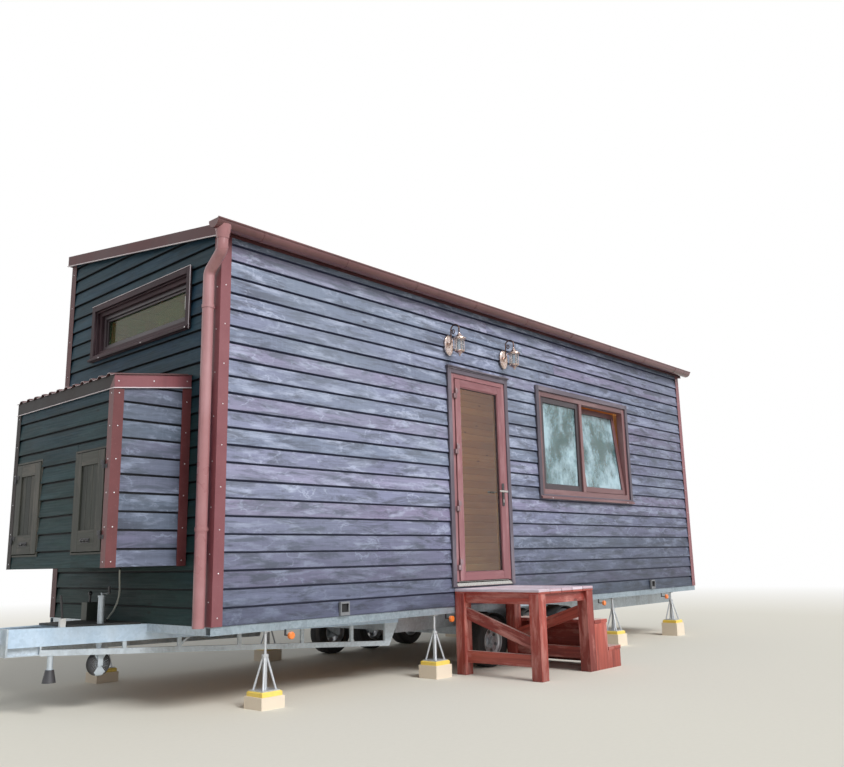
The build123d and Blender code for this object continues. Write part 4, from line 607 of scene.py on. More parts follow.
def finishPiece(name, mesh, finish, slot, body="house", edge=0, smooth=False, stands=(), segments=2):
    bmesh.ops.recalc_face_normals(mesh, faces=mesh.faces)
    data = bpy.data.meshes.new(name)
    mesh.to_mesh(data)
    mesh.free()
    piece = placeObject(name, data)
    data.materials.append(finish)
    if smooth:
        data.shade_smooth()
        data.set_sharp_from_angle(angle=radians(38))
    if edge:
        bevel = piece.modifiers.new("softEdges", "BEVEL")
        bevel.width = edge / 1000
        bevel.segments = segments
        bevel.limit_method = "ANGLE"
        bevel.angle_limit = radians(35)
        bevel.harden_normals = False
    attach(piece, body)
    if stands:
        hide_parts(*stands)
    return piece


# Gas hose from the locker floor to the drawbar, on its route's own points
gasHose = {
    "points": [(-57, 1200, 405), (-57, 1200, 352), (-52, 1200, 298), (-50, 1199, 245), (-55, 1199, 193),
               (-70, 1198, 143), (-93, 1197, 99), (-121, 1195, 61), (-149, 1193, 30)],
    "diameter": 14, "length": 0.403,
}


def makeGasHose():
    line = bpy.data.curves.new("gasHose", "CURVE")
    line.dimensions = "3D"
    line.bevel_depth = gasHose["diameter"] / 2000
    line.bevel_resolution = 4
    line.resolution_u = 12
    line.use_fill_caps = True
    spline = line.splines.new("NURBS")
    spline.points.add(len(gasHose["points"]) - 1)
    for point, place in zip(spline.points, gasHose["points"]):
        point.co = (*at(*place), 1)
    spline.order_u = 3
    spline.use_endpoint_u = True
    hose = placeObject("gasHoseLine", line)
    line.materials.append(coated["hoseRubber"])
    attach(hose, "house")
    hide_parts("gas_hose")


makeGasHose()
print("hose laid")

# Lap boards over the body and the locker
cladding = {
    "pitch": 130, "thick": 16, "lap": 20, "station": 165, "wave": 1.3, "edgeWave": 1.6, "gapHigh": 13, "gapDeep": 7,
    "toneSpread": 0.24, "lean": 0.8, "edgeLift": 1.2, "jointShifts": (-620, -310, 0, 310, 620), "jointClear": 500,
    "jointFrom": 4300,
}
lining = {"pitch": 96, "thick": 12, "groove": 5, "seed": 23}


def boardStations(start, end, low, high, rise):
    stations = {start, end}
    steps = max(1, round((end - start) / cladding["station"]))
    for i in range(1, steps):
        stations.add(start + (end - start) * i / steps)
    if rise:
        for height in (low, high):
            crossing = (height - house["eave"]) / rise
            if start < crossing < end:
                stations.add(crossing)
    return sorted(stations)


def addBoard(mesh, wall, start, end, low, high, course, rng, lapped=True):
    rise = wall.get("rise", 0)
    limit = wall["limit"]
    if rise and limit(start) < low + 1:
        start = (low + 1 - wall["riseFrom"]) / rise
    if end - start < 4 or limit(end) < low + 1:
        return
    bottom, top = course
    thick = wall["thick"]
    pitch = top - bottom
    shift = (rng.uniform(0, 60), rng.uniform(0, 60))
    tone = min(1, max(0, rng.gauss(0.5, cladding["toneSpread"])))
    phase = rng.uniform(0, 100)
    lean = rng.uniform(-cladding["lean"], cladding["lean"])
    edgeLift = rng.uniform(-cladding["edgeLift"], cladding["edgeLift"])
    lifted = lapped and low <= bottom + 1
    over = cladding["lap"] if lapped and high >= top - 0.5 else 0

    def outer(z):
        return thick * (z - bottom) / pitch if lapped else 0

    # each face's gap value darkens it in the finish, as dirt and painted shade
    def lapLine(lowest):  # the profile's (depth, height) points, and how deep in the gap each face lies
        line = [(outer(low) + 2.0, lowest), (outer(low) + 0.4, lowest + 2.5), (outer(low + 8) - 0.2, lowest + 9)]
        gapDirtAndShade = [1.0, 0.0, 0.0, 0.0]
        if over and high - low > 3 * cladding["gapHigh"]:
            shelf = high - cladding["gapHigh"]
            deep = cladding["gapDeep"]
            line += [((outer(low) + outer(shelf)) / 2 - 0.6, (low + shelf) / 2), (outer(shelf), shelf),
                     (outer(shelf) + deep, shelf + 1.5), (outer(high) + deep, high),
                     (outer(top) + deep + 1.5, top + over)]
            gapDirtAndShade += [0.7, 1.0, 1.0]
        else:
            line += [((outer(low) + outer(high)) / 2 - 0.6, (low + high) / 2), (outer(high), high)]
        line += [(line[-1][0] + thick, line[-1][1]), (outer(low) + thick, lowest)]
        return line, gapDirtAndShade + [1.0] * (len(line) - len(gapDirtAndShade))

    def flatLine():
        groove = lining["groove"]
        line = [(groove, low + 0.5), (0, low + groove), (0, high - groove), (groove, high - 0.5),
                (thick, high - 0.5), (thick, low + 0.5)]
        return line, [0.0] * len(line)

    rows = []
    for u in boardStations(start, end, low, high, rise):
        roof = limit(u) - 1
        wave = cladding["wave"] * noise.noise((u / 420, phase, 0)) if lapped else 0
        rough = cladding["edgeWave"] * noise.noise((u / 260, phase, 7)) + edgeLift if lifted else 0
        line, gapDirtAndShade = lapLine(low + rough) if lapped else flatLine()
        row = []
        for depth, z in line:
            if lapped:
                depth = max(0.2, depth + wave + lean * (z - bottom) / pitch)
            row.append((depth, min(z, roof)))
        rows.append((u, row))
    verts = [[mesh.verts.new(wall["spot"](u, depth, z)) for depth, z in row] for u, row in rows]
    count = len(rows[0][1])
    for i in range(len(rows) - 1):
        (u0, row), (u1, _) = rows[i], rows[i + 1]
        for k in range(count):
            m = (k + 1) % count
            side = 1 if abs(row[m][1] - row[k][1]) > 3 else 0
            ends = [(row[j][side] + (0 if side else low)) / 1000 + shift[1] for j in (k, m)]
            uvs = [(u / 1000 + shift[0], ends[j]) for u, j in ((u0, 0), (u1, 0), (u1, 1), (u0, 1))]
            layFace(mesh, [verts[i][k], verts[i + 1][k], verts[i + 1][m], verts[i][m]], uvs, tone, gapDirtAndShade[k])
    for row, (_, line) in ((verts[0], rows[0]), (verts[-1], rows[-1])):
        layFace(mesh, row, [(z / 1000 + shift[0], depth / 1000 + shift[1]) for depth, z in line], tone)


def splitRound(start, end, low, high, openings):
    # the parts of one course that are left round the openings
    parts = [(start, end, low, high)]
    for x0, x1, z0, z1 in openings:
        left = []
        for a, b, lo, hi in parts:
            if b <= x0 or a >= x1 or hi <= z0 or lo >= z1:
                left.append((a, b, lo, hi))
                continue
            if a < x0:
                left.append((a, x0, lo, hi))
            if b > x1:
                left.append((x1, b, lo, hi))
            inner = (max(a, x0), min(b, x1))
            if lo < z0 - 6:
                left.append((*inner, lo, z0))
            if hi > z1 + 6:
                left.append((*inner, z1, hi))
        parts = left
    return parts


def boardWall(mesh, wall, openings=(), lapped=True):
    rng = random.Random(wall["seed"])
    bottom, clear = wall["from"], cladding["jointClear"]
    while bottom < wall["to"] - 4:
        top = bottom + wall["pitch"]
        for a, b, low, high in splitRound(wall["start"], wall["end"], bottom, min(top, wall["to"]), openings):
            cuts = [a]
            for joint in wall.get("joints", ()):
                place = joint + rng.choice(cladding["jointShifts"])
                if a + clear < place < b - clear and b - a > cladding["jointFrom"]:
                    cuts.append(place)
            cuts.append(b)
            for first, second in zip(cuts, cuts[1:]):
                addBoard(mesh, wall, first + (1 if first != a else 0), second - (1 if second != b else 0), low, high,
                         (bottom, top), rng, lapped)
        bottom = top


def noLimit(u):
    return 1e6


length, width, wallDepth = house["length"], house["width"], house["wall"]
frontTop, backTop = underRoof(0), underRoof(width)
openings = {
    "door": (2660, 3520, 172, 2220),
    "window": (4157, 6080, 1096, 2244),
    "loft": (452, 1950, 2290, 2706),
    "nearHatch": (427, 867, 534, 1256),
    "farHatch": (1448, 1888, 534, 1256),
}
slopedTop = {"limit": underRoof, "rise": house["roofRise"], "riseFrom": house["eave"]}
bodyWall = {"pitch": cladding["pitch"], "thick": cladding["thick"], "from": 0, "to": backTop, "start": 2}
bodyWalls = {
    "frontBoards": {
        **bodyWall, "end": length - 2, "to": frontTop, "limit": noLimit, "seed": 11, "joints": (3900,),
        "spot": lambda u, depth, z: at(u, depth, z), "cuts": (openings["door"], openings["window"]),
        "look": "cladding", "stands": ("front_wall_left", "front_wall_right", "front_wall_over_door",
                                       "front_wall_under_door")},
    "backBoards": {
        **bodyWall, "end": length - 2, "limit": noLimit, "seed": 12, "joints": (2400, 5200),
        "spot": lambda u, depth, z: at(u, width - depth, z), "look": "cladding", "stands": ("back_wall",)},
    "drawbarEndBoards": {
        **bodyWall, **slopedTop, "end": width - 2, "seed": 13, "spot": lambda u, depth, z: at(depth, u, z),
        "cuts": (openings["loft"],), "look": "shadedCladding", "stands": ("left_end_wall",)},
    "rearEndBoards": {
        **bodyWall, **slopedTop, "end": width - 2, "seed": 14, "spot": lambda u, depth, z: at(length - depth, u, z),
        "look": "midShadeCladding", "stands": ("right_end_wall",)},
}


def makeBodyBoards():
    for name, wall in bodyWalls.items():
        mesh = startMesh()
        boardWall(mesh, wall, wall.get("cuts", ()))
        finishPiece(name, mesh, timber[wall["look"]], "board", smooth=True, stands=wall["stands"])


makeBodyBoards()
print("body boards laid")

# Wall cores behind the boards, and the room's pine lining
core = {"outer": 34, "inner": 126}


def makeCores():
    mesh = startMesh()
    a, b = core["outer"], core["inner"]
    door, window, loft = openings["door"], openings["window"], openings["loft"]
    top = underRoof(a) - 2
    rng = random.Random(5)
    for x0, x1 in ((a, door[0]), (door[1], window[0]), (window[1], length - a)):
        addTimber(mesh, (x0, x1), (a, b), (0, top), "z", rng)
    for opening in (door, window):
        for rise in ((opening[3], top), (0, opening[2])):
            addTimber(mesh, opening[:2], (a, b), rise, "x", rng)
    addTimber(mesh, (a, length - a), (width - b, width - a), (0, underRoof(width - b) - 2), "x", rng)
    near, far = (a, b), (length - b, length - a)
    for x, y0, y1, foot in ((near, b, loft[0], 0), (near, loft[1], width - b, 0), (near, *loft[:2], loft[3]),
                            (far, b, width - b, 0)):
        outline = [(y0, foot), (y1, foot), (y1, underRoof(y1) - 2), (y0, underRoof(y0) - 2)]
        addOutline(mesh, outline, *x, lambda p, q, along: (along, p, q))
    addTimber(mesh, near, loft[:2], (0, loft[2]), "y", rng)
    finishPiece("wallCores", mesh, timber["pine"], "floor")


def makeLining():
    t = lining["thick"]
    near, far, deep = wallDepth, width - wallDepth, length - wallDepth
    base = {"pitch": lining["pitch"], "thick": t, "from": 160, "limit": noLimit}
    along = {**base, "start": wallDepth, "end": deep}
    across = {**base, **slopedTop, "start": near, "end": far, "to": underRoof(far)}
    walls = [
        ({**along, "to": underRoof(near) - t, "seed": 31, "spot": lambda u, depth, z: at(u, near - depth, z)},
         [openings["door"], openings["window"]]),
        ({**along, "to": underRoof(far) - t, "seed": 32, "spot": lambda u, depth, z: at(u, far + depth, z)}, []),
        ({**across, "seed": 33, "spot": lambda u, depth, z: at(near - depth, u, z)}, [openings["loft"]]),
        ({**across, "seed": 34, "spot": lambda u, depth, z: at(deep + depth, u, z)}, []),
    ]
    slope = hypot(1, house["roofRise"])
    level = [
        ({**along, "from": near * slope, "to": far * slope, "seed": 35,
          "spot": lambda u, depth, s: at(u, s / slope, underRoof(s / slope) - t + depth)}, []),
        ({**along, "from": near, "to": far, "seed": 36, "pitch": 140,
          "spot": lambda u, depth, s: at(u, s, 160 + t - depth)}, []),
    ]
    for name, boarded in (("roomLining", walls), ("ceilingAndFloorBoards", level)):
        mesh = startMesh()
        for wall, cuts in boarded:
            boardWall(mesh, wall, cuts, lapped=False)
        finishPiece(name, mesh, timber["pine"], "floor")
    reveals = startMesh()
    rng = random.Random(8)
    for name, start, grain in (("door", 72, "x"), ("window", 78, "x"), ("loft", 118, "y")):
        a, b, z0, z1 = openings[name]
        depth, between = (start, wallDepth + 10), (z0 + t, z1 - t)
        for reach, rise, run in (((a, b), (z1 - t, z1), grain), ((a, b), (z0, z0 + t), grain),
                                 ((a, a + t), between, "z"), ((b - t, b), between, "z")):
            x, y = (reach, depth) if grain == "x" else (depth, reach)
            addTimber(reveals, x, y, rise, run, rng)
    finishPiece("openingReveals", reveals, timber["pine"], "floor", edge=2)


makeCores()
makeLining()
print("room lined")

# Locker boards, hatches and their iron
locker = {"near": 355, "far": 1960, "depth": 625, "bottom": 425, "wall": 30, "boardThick": 11, "sheet": 6}


def makeLockerWalls():
    depth, bottom, near, far = (locker[key] for key in ("depth", "bottom", "near", "far"))
    nearHatch, farHatch = openings["nearHatch"], openings["farHatch"]
    frontTopLine = underLockerRoof(-depth) - 1
    base = {"pitch": cladding["pitch"], "thick": locker["boardThick"], "from": bottom, "limit": noLimit}
    front = {**base, "start": near + 1, "end": far - 1, "to": frontTopLine, "seed": 41,
             "spot": lambda u, d, z: at(-depth + d, u, z)}
    side = {**base, "start": -depth + 1, "end": -1, "to": house["lockerTop"], "limit": underLockerRoof,
            "rise": house["lockerRise"], "riseFrom": house["lockerTop"]}
    nearSide = {**side, "seed": 42, "spot": lambda u, d, z: at(u, near + d, z)}
    farSide = {**side, "seed": 43, "spot": lambda u, d, z: at(u, far - d, z)}
    for name, wall, cuts, look, stands in (
            ("lockerFrontBoards", front, (nearHatch, farHatch), "shadedCladding", ("locker_front",)),
            ("lockerNearBoards", nearSide, (), "midShadeCladding", ("locker_sides",)),
            ("lockerFarBoards", farSide, (), "midShadeCladding", ())):
        mesh = startMesh()
        boardWall(mesh, wall, cuts)
        finishPiece(name, mesh, timber[look], "board", smooth=True, stands=stands)
    sheet = startMesh()
    rng = random.Random(44)
    inner, t = locker["wall"], locker["sheet"]
    x0, x1 = -depth + inner - t, -depth + inner
    y0, y1 = near + inner - t, far - inner + t
    outline = [(x1, bottom), (0, bottom), (0, house["lockerTop"] - 2), (x1, underLockerRoof(x1) - 2)]
    for y in (y0, far - inner):
        addOutline(sheet, outline, y, y + t, lambda p, q, along: (p, along, q))
    whole, beside = (y0, y1), nearHatch[2:]
    for y, z in ((whole, (bottom, nearHatch[2])), (whole, (nearHatch[3], frontTopLine - 2)),
                 ((y0, nearHatch[0]), beside), ((nearHatch[1], farHatch[0]), beside), ((farHatch[1], y1), beside)):
        addTimber(sheet, (x0, x1), y, z, "y", rng)
    for a, b, z0, z1 in (nearHatch, farHatch):  # frame round each hatch opening
        low, high = z0 - 14, z1 + 14
        for y, z, grain in (((a - 14, a), (low, high), "z"), ((b, b + 14), (low, high), "z"),
                            ((a, b), (low, z0), "y"), ((a, b), (z1, high), "y")):
            addTimber(sheet, (-depth + 1, x0), y, z, grain, rng)
    finishPiece("lockerSheets", sheet, timber["hatchWood"], "board")


hatch = {
    "gap": 6, "proud": 6, "thick": 24, "stile": 92, "rail": 96, "bottomRail": 150, "panelBoards": 3, "panelBack": 10,
    "panelGap": 0.6, "axisOut": 14, "barrel": 7, "hingeHalf": 30, "hingeHeights": (650, 1140), "hingeLeaf": (3, 44),
    "hingeScrews": (16, 34), "pinLeaf": (-0.5, 38), "pinScrews": (14, 30), "boltLength": 120, "boltOut": 9,
    "boltHalf": 16, "strap": ((1, -11), (9, -9), (15.5, -4), (15.5, 4), (9, 9), (1, 11)), "straps": (-0.75, 0.1, 0.75),
    "knob": [(0, 4), (9, 4), (10, 6.5), (16, 6.5), (17, 4)],
}


def makeHatch(name, node, body, into, seed):  # into is 1 or -1, the way from the hinged edge to the other
    rng = random.Random(seed)
    gap = hatch["gap"]
    y0, y1, z0, z1 = (place + inward for place, inward in zip(openings[name], (gap, -gap, gap, -gap)))
    x0 = -locker["depth"] - hatch["proud"]
    x1 = x0 + hatch["thick"]
    stile, rail, low = hatch["stile"], hatch["rail"], hatch["bottomRail"]
    wood = startMesh()
    addRing(wood, (x0, x1), (y0, y1), (z0, z1), (stile, rail, low), rng, "y")
    finishPiece(name + "Wood", wood, timber["hatchWood"], "trim_wood", body, edge=2, stands=(node,))
    panel = startMesh()
    panelWidth = (y1 - y0 - 2 * stile) / hatch["panelBoards"]
    for i in range(hatch["panelBoards"]):
        a = y0 + stile + i * panelWidth
        y = (a + hatch["panelGap"], a + panelWidth - hatch["panelGap"])
        addTimber(panel, (x0 + hatch["panelBack"], x1 - 3), y, (z0 + low, z1 - rail), "z", rng)
    finishPiece(name + "Panel", panel, timber["hatchPanel"], "trim_wood", body, edge=2)
    iron = startMesh()
    edge = y0 if into > 0 else y1
    barrel, tall = hatch["barrel"], hatch["hingeHalf"]
    for height in hatch["hingeHeights"]:
        foot = (-locker["depth"] - hatch["axisOut"], edge, height + 0.4)
        addTurned(iron, foot, (0, 0, 1), [(0, barrel - 1), (1, barrel), (tall - 2, barrel), (tall - 0.4, 5)], 16)
        ends = sorted(edge + into * reach for reach in hatch["hingeLeaf"])
        addTimber(iron, (x0 - 4, x0), ends, (height + 0.5, height + tall), "y", rng)
        for reach in hatch["hingeScrews"]:
            addDome(iron, (x0 - 4, edge + into * reach, height + tall / 2), (-1, 0, 0), 4.5, 2.4, 10)
    middle, lift, half = (y0 + y1) / 2, z0 + rail * 0.8, hatch["boltLength"] / 2
    axis, high = x0 - hatch["boltOut"], hatch["boltHalf"]
    addTimber(iron, (x0 - 3, x0), (middle - half, middle + half), (lift - high, lift + high), "y", rng)
    addTube(iron, [(axis, middle - half, lift), (axis, middle + half, lift)], 5.5, 14)
    for reach in hatch["straps"]:
        addTube(iron, [(x0 - out, middle + half * reach, lift + up) for out, up in hatch["strap"]], 2.2, 8)
    addTurned(iron, (axis, middle - half * 0.3, lift), (-1, 0, 0), hatch["knob"], 14)
    for side in (-1, 1):
        for height in (-11, 11):
            addDome(iron, (x0 - 3, middle + side * (half - 8), lift + height), (-1, 0, 0), 3.5, 2, 10)
    finishPiece(name + "Iron", iron, coated["blackIron"], "black_metal", body, smooth=True)


def makeHatchPins():  # the fixed hinge halves on the locker
    mesh = startMesh()
    rng = random.Random(3)
    face, barrel, tall = -locker["depth"], hatch["barrel"], hatch["hingeHalf"]
    axis = face - hatch["axisOut"]
    for opening, into in ((openings["nearHatch"][0], 1), (openings["farHatch"][1], -1)):
        edge = opening + into * hatch["gap"]
        for height in hatch["hingeHeights"]:
            profile = [(0, 5), (1.4, barrel), (tall - 1, barrel), (tall, barrel - 1)]
            addTurned(mesh, (axis, edge, height - tall), (0, 0, 1), profile, 16)
            rise = (height - tall, height - 0.5)
            ends = sorted(opening - into * reach for reach in hatch["pinLeaf"])
            addTimber(mesh, (face - 6, face - 1), ends, rise, "y", rng)
            inner = sorted((opening - into * 3, edge - into * 2))
            addTimber(mesh, (axis - 2, face - 2), inner, rise, "y", rng)
            for reach in hatch["pinScrews"]:
                addDome(mesh, (face - 6, opening - into * reach, height - tall / 2), (-1, 0, 0), 4.5, 2.4, 10)
    finishPiece("hatchHingePins", mesh, coated["blackIron"], "black_metal", smooth=True)


makeLockerWalls()
makeHatch("nearHatch", "near_hatch", "near_locker_hatch", 1, 51)
makeHatch("farHatch", "far_hatch", "far_locker_hatch", -1, 52)
makeHatchPins()
print("locker boarded")

# Entrance door
door = {
    "left": 2660, "right": 3520, "sill": 172, "top": 2220, "face": 46, "proud": 8, "depth": 80, "stop": 22,
    "stopFrom": 44, "leaf": (2714, 3466, 226, 2166), "leafProud": 18, "leafDepth": 56, "stile": 74,
    "bottomRail": 74, "bead": 9, "glass": (1, 25), "seals": ((-1, 2.2), (23.8, 27)), "lock": (3422, -26, 1000),
    "hingeAxis": (2710, -30), "hingeHeights": (376, 922.7, 1469.3, 2016), "hingeRadius": 9, "hingeLength": 96,
    "hingeLeaf": 32,
}


def addSeal(mesh, depth, span, heights, under, rng, turn=None):  # rubber strips on the edge of a pane
    (x0, x1), (z0, z1), over = span, heights, 4
    for x, z, grain in (((x0 - under, x0 + over), heights, "z"), ((x1 - over, x1 + under), heights, "z"),
                        (span, (z1 - over, z1 + under), "x"), (span, (z0 - under, z0 + over), "x")):
        addTimber(mesh, x, depth, z, grain, rng, turn)


def makeDoor():
    rng = random.Random(61)
    wood = startMesh()
    y0, y1 = -door["proud"], door["depth"] - door["proud"]
    f, stop = door["face"], door["stop"]
    x0, x1, z0, z1 = (door[key] for key in ("left", "right", "sill", "top"))
    addRing(wood, (y0, y1), (x0, x1), (z0, z1), (f, f, f), rng)
    addRing(wood, (door["stopFrom"], y1), (x0 + f, x1 - f), (z0 + f, z1 - f), (stop, stop, stop), rng)
    finishPiece("doorFrameWood", wood, timber["doorWood"], "joinery", edge=2.5, stands=("door_frame",))

    wood = startMesh()
    a, b, low, high = door["leaf"]
    y0, y1 = -door["leafProud"], door["leafDepth"] - door["leafProud"]
    s, r, w = door["stile"], door["bottomRail"], door["bead"]
    addRing(wood, (y0, y1), (a, b), (low, high), (s, s, r), rng)
    front, behind = door["glass"]
    for depth in ((y0 + 5, front), (behind, y1 - 3)):  # glazing beads on both sides of the glass
        addRing(wood, depth, (a + s, b - s), (low + r, high - s), (w, w, w), rng)
    finishPiece("doorLeafWood", wood, timber["doorWood"], "joinery", "door", edge=3, stands=("door_leaf",))

    seal = startMesh()
    for depth in door["seals"]:
        addSeal(seal, depth, (a + s + w, b - s - w), (low + r + w, high - s - w), 1, rng)
    finishPiece("doorGlassSeal", seal, coated["seal"], "black_metal", "door", edge=1)

    threshold = startMesh()
    outline = [(-22, z0 + 4), (-22, z0 + 10), (-8, z0 + f - 12), (-8, z0 + f + 1), (42, z0 + f + 1), (42, z0 + f - 1),
               (-6, z0 + f - 3), (-6, z0 + f - 14), (-19, z0 + 9), (-19, z0 + 4)]
    addOutline(threshold, outline, x0 + 4, x1 - 4, lambda p, q, along: (along, p, q))
    finishPiece("doorThreshold", threshold, metal["handleSteel"], "handle_metal")

    hx, hy = door["hingeAxis"]
    radius, half, wide = door["hingeRadius"], door["hingeLength"] / 2, door["hingeLeaf"]
    fixed, moving = startMesh(), startMesh()
    up = (0, 0, 1)
    below = [(-7, 3), (-6, 6), (0, radius), (half - 0.4, radius), (half, radius - 1)]
    above = [(0, radius - 1), (1, radius), (half - 0.4, radius), (half + 5, 6), (half + 6, 3)]
    for height in door["hingeHeights"]:
        addTurned(fixed, (hx, hy, height - half), up, below, 20)
        addTimber(fixed, (hx - wide, hx - 3), (hy - 2, hy + 3), (height - half + 2, height - 2), "z", rng)
        addTimber(fixed, (hx - wide, hx - 16), (hy + 1, -door["proud"]), (height - half + 4, height - 4), "z", rng)
        addTurned(moving, (hx, hy, height + 0.4), up, above, 20)
        addTimber(moving, (hx + 3, hx + wide), (hy - 2, hy + 3), (height + 2, height + half - 2), "z", rng)
        addTimber(moving, (hx + 16, hx + wide), (hy + 1, -door["leafProud"]), (height + 4, height + half - 4), "z", rng)
        for mesh, side in ((fixed, -1), (moving, 1)):
            for lift in (-12, 12):
                addDome(mesh, (hx + side * 24, hy - 2, height + side * half / 2 + lift), (0, -1, 0), 3.6, 1.8, 10)
    finishPiece("doorHingesFixed", fixed, coated["hingeCoat"], "handle_metal", smooth=True)
    finishPiece("doorHingesLeaf", moving, coated["hingeCoat"], "handle_metal", "door", smooth=True)

    cylinder, keyhole = startMesh(), startMesh()  # lock barrel under the lever
    x, y, z = door["lock"]
    addTurned(cylinder, (x, y, z), (0, -1, 0), [(-1, 9), (3, 9), (4, 8)], 18)
    addTimber(cylinder, (x - 5, x + 5), (y - 3.4, y), (z - 22, z - 6), "z", rng)
    finishPiece("doorLock", cylinder, metal["handleSteel"], "handle_metal", "door", smooth=True)
    addTimber(keyhole, (x - 1.2, x + 1.2), (y - 4.6, y - 3), (z - 5, z + 3), "z", rng)
    finishPiece("doorKeyhole", keyhole, coated["seal"], "black_metal", "door")


makeDoor()
print("door hung")

# Windows and the trims round every opening
window = {
    "left": 4157, "right": 6080, "low": 1096, "high": 2244, "face": 58, "depth": 78, "mullion": (5010, 5062),
    "sash": 62, "sashFront": 16, "sashBack": 72, "tilt": 6, "play": 4, "seals": ((28, 32.4), (53.6, 58)),
    "gripIn": 31, "gripHeight": 1660,
}


def makeWindows():
    rng = random.Random(71)
    f, s, play = window["face"], window["sash"], window["play"]
    x0, x1, z0, z1 = (window[key] for key in ("left", "right", "low", "high"))
    m0, m1 = window["mullion"]
    depth, sashDepth = (0, window["depth"]), (window["sashFront"], window["sashBack"])
    wood = startMesh()
    addRing(wood, depth, (x0, x1), (z0, z1), (f, f, f), rng)
    addTimber(wood, (m0, m1), depth, (z0 + f, z1 - f), "z", rng)
    finishPiece("windowFrameWood", wood, timber["windowWood"], "joinery", edge=2.5, stands=("window_frame",))
    pivot = at(0, window["sashBack"], z0 + f)
    lean = Matrix.Translation(pivot) @ Matrix.Rotation(radians(-window["tilt"]), 4, "X") @ Matrix.Translation(-pivot)
    fixed = ((x0 + f, m0), (z0 + f, z1 - f), None)
    tilted = ((m1 + play, x1 - f - play), (z0 + f, z1 - f - play), lean)
    for name, look, (span, heights, turn), stands in (
            ("fixedSashWood", "sashWood", fixed, ("window_sashes",)), ("tiltedSashWood", "windowWood", tilted, ())):
        wood = startMesh()
        addRing(wood, sashDepth, span, heights, (s, s, s), rng, turn=turn)
        finishPiece(name, wood, timber[look], "joinery", edge=3, stands=stands)
    seal = startMesh()
    for (a, b), (low, high), turn in (fixed, tilted):
        for reach in window["seals"]:
            addSeal(seal, reach, (a + s, b - s), (low + s, high - s), 2, rng, turn)
    finishPiece("windowSeals", seal, coated["seal"], "black_metal")
    grip = startMesh()  # turning handle on the tilted sash, inside the room
    gx, gy, gz = m1 + play + window["gripIn"], window["sashBack"], window["gripHeight"]
    addTurned(grip, (gx, gy, gz), (0, 1, 0), [(0, 15), (6, 15), (8, 12), (26, 8)], 18)
    addTube(grip, [(gx, gy + 24, gz), (gx, gy + 28, gz + 6), (gx, gy + 28, gz + 118)], [8, 8, 6.5], 12)
    bmesh.ops.transform(grip, matrix=lean, verts=grip.verts)
    finishPiece("windowHandle", grip, coated["whitePlastic"], "handle_metal", smooth=True)


loft = {
    "back": 118, "lining": (0, 24, 12), "frame": (24, 46), "sash": (50, 34), "bead": (66, 20), "pane": (84, 106),
    "handle": (532, 2436, 106),
}


def addLoftRing(mesh, x0, x1, inset, face, rng):
    y0, y1, z0, z1 = openings["loft"]
    span, heights = (y0 + inset, y1 - inset), (z0 + inset, z1 - inset)
    addRing(mesh, (x0, x1), span, heights, (face, face, face), rng, "y")


def makeLoftWindow():
    rng = random.Random(81)
    wood, sash, handle = startMesh(), startMesh(), startMesh()
    face, stile, bead = loft["frame"][1], loft["sash"][1], loft["bead"][1]
    addLoftRing(wood, *loft["lining"][:2], 0, loft["lining"][2], rng)
    addLoftRing(wood, loft["frame"][0], loft["back"], 0, face, rng)
    finishPiece("loftFrameWood", wood, timber["loftWood"], "joinery", edge=2.5, stands=("loft_window_frame",))
    addLoftRing(sash, loft["sash"][0], loft["back"], face, stile, rng)
    addLoftRing(sash, loft["bead"][0], loft["pane"][0], face + stile, bead, rng)
    addLoftRing(sash, loft["pane"][1], loft["back"] - 3, face + stile, bead, rng)
    finishPiece("loftSashWood", sash, timber["sashWood"], "joinery", edge=2.5)
    x, (y, z, tall) = loft["sash"][0], loft["handle"]
    addTurned(handle, (x, y, z), (-1, 0, 0), [(-1, 12), (4, 12), (6, 9)], 16)
    addTube(handle, [(x - 6, y, z), (x - 14, y, z), (x - 15, y, z + 10), (x - 15, y, z + tall)], [8, 8, 8, 7], 12)
    finishPiece("loftHandle", handle, coated["whitePlastic"], "handle_metal", smooth=True)


trims = {"width": 52, "thick": 20, "capHigh": 16, "capProud": 16, "sillProud": 42, "sillHigh": 30, "highlightStrip": 4}


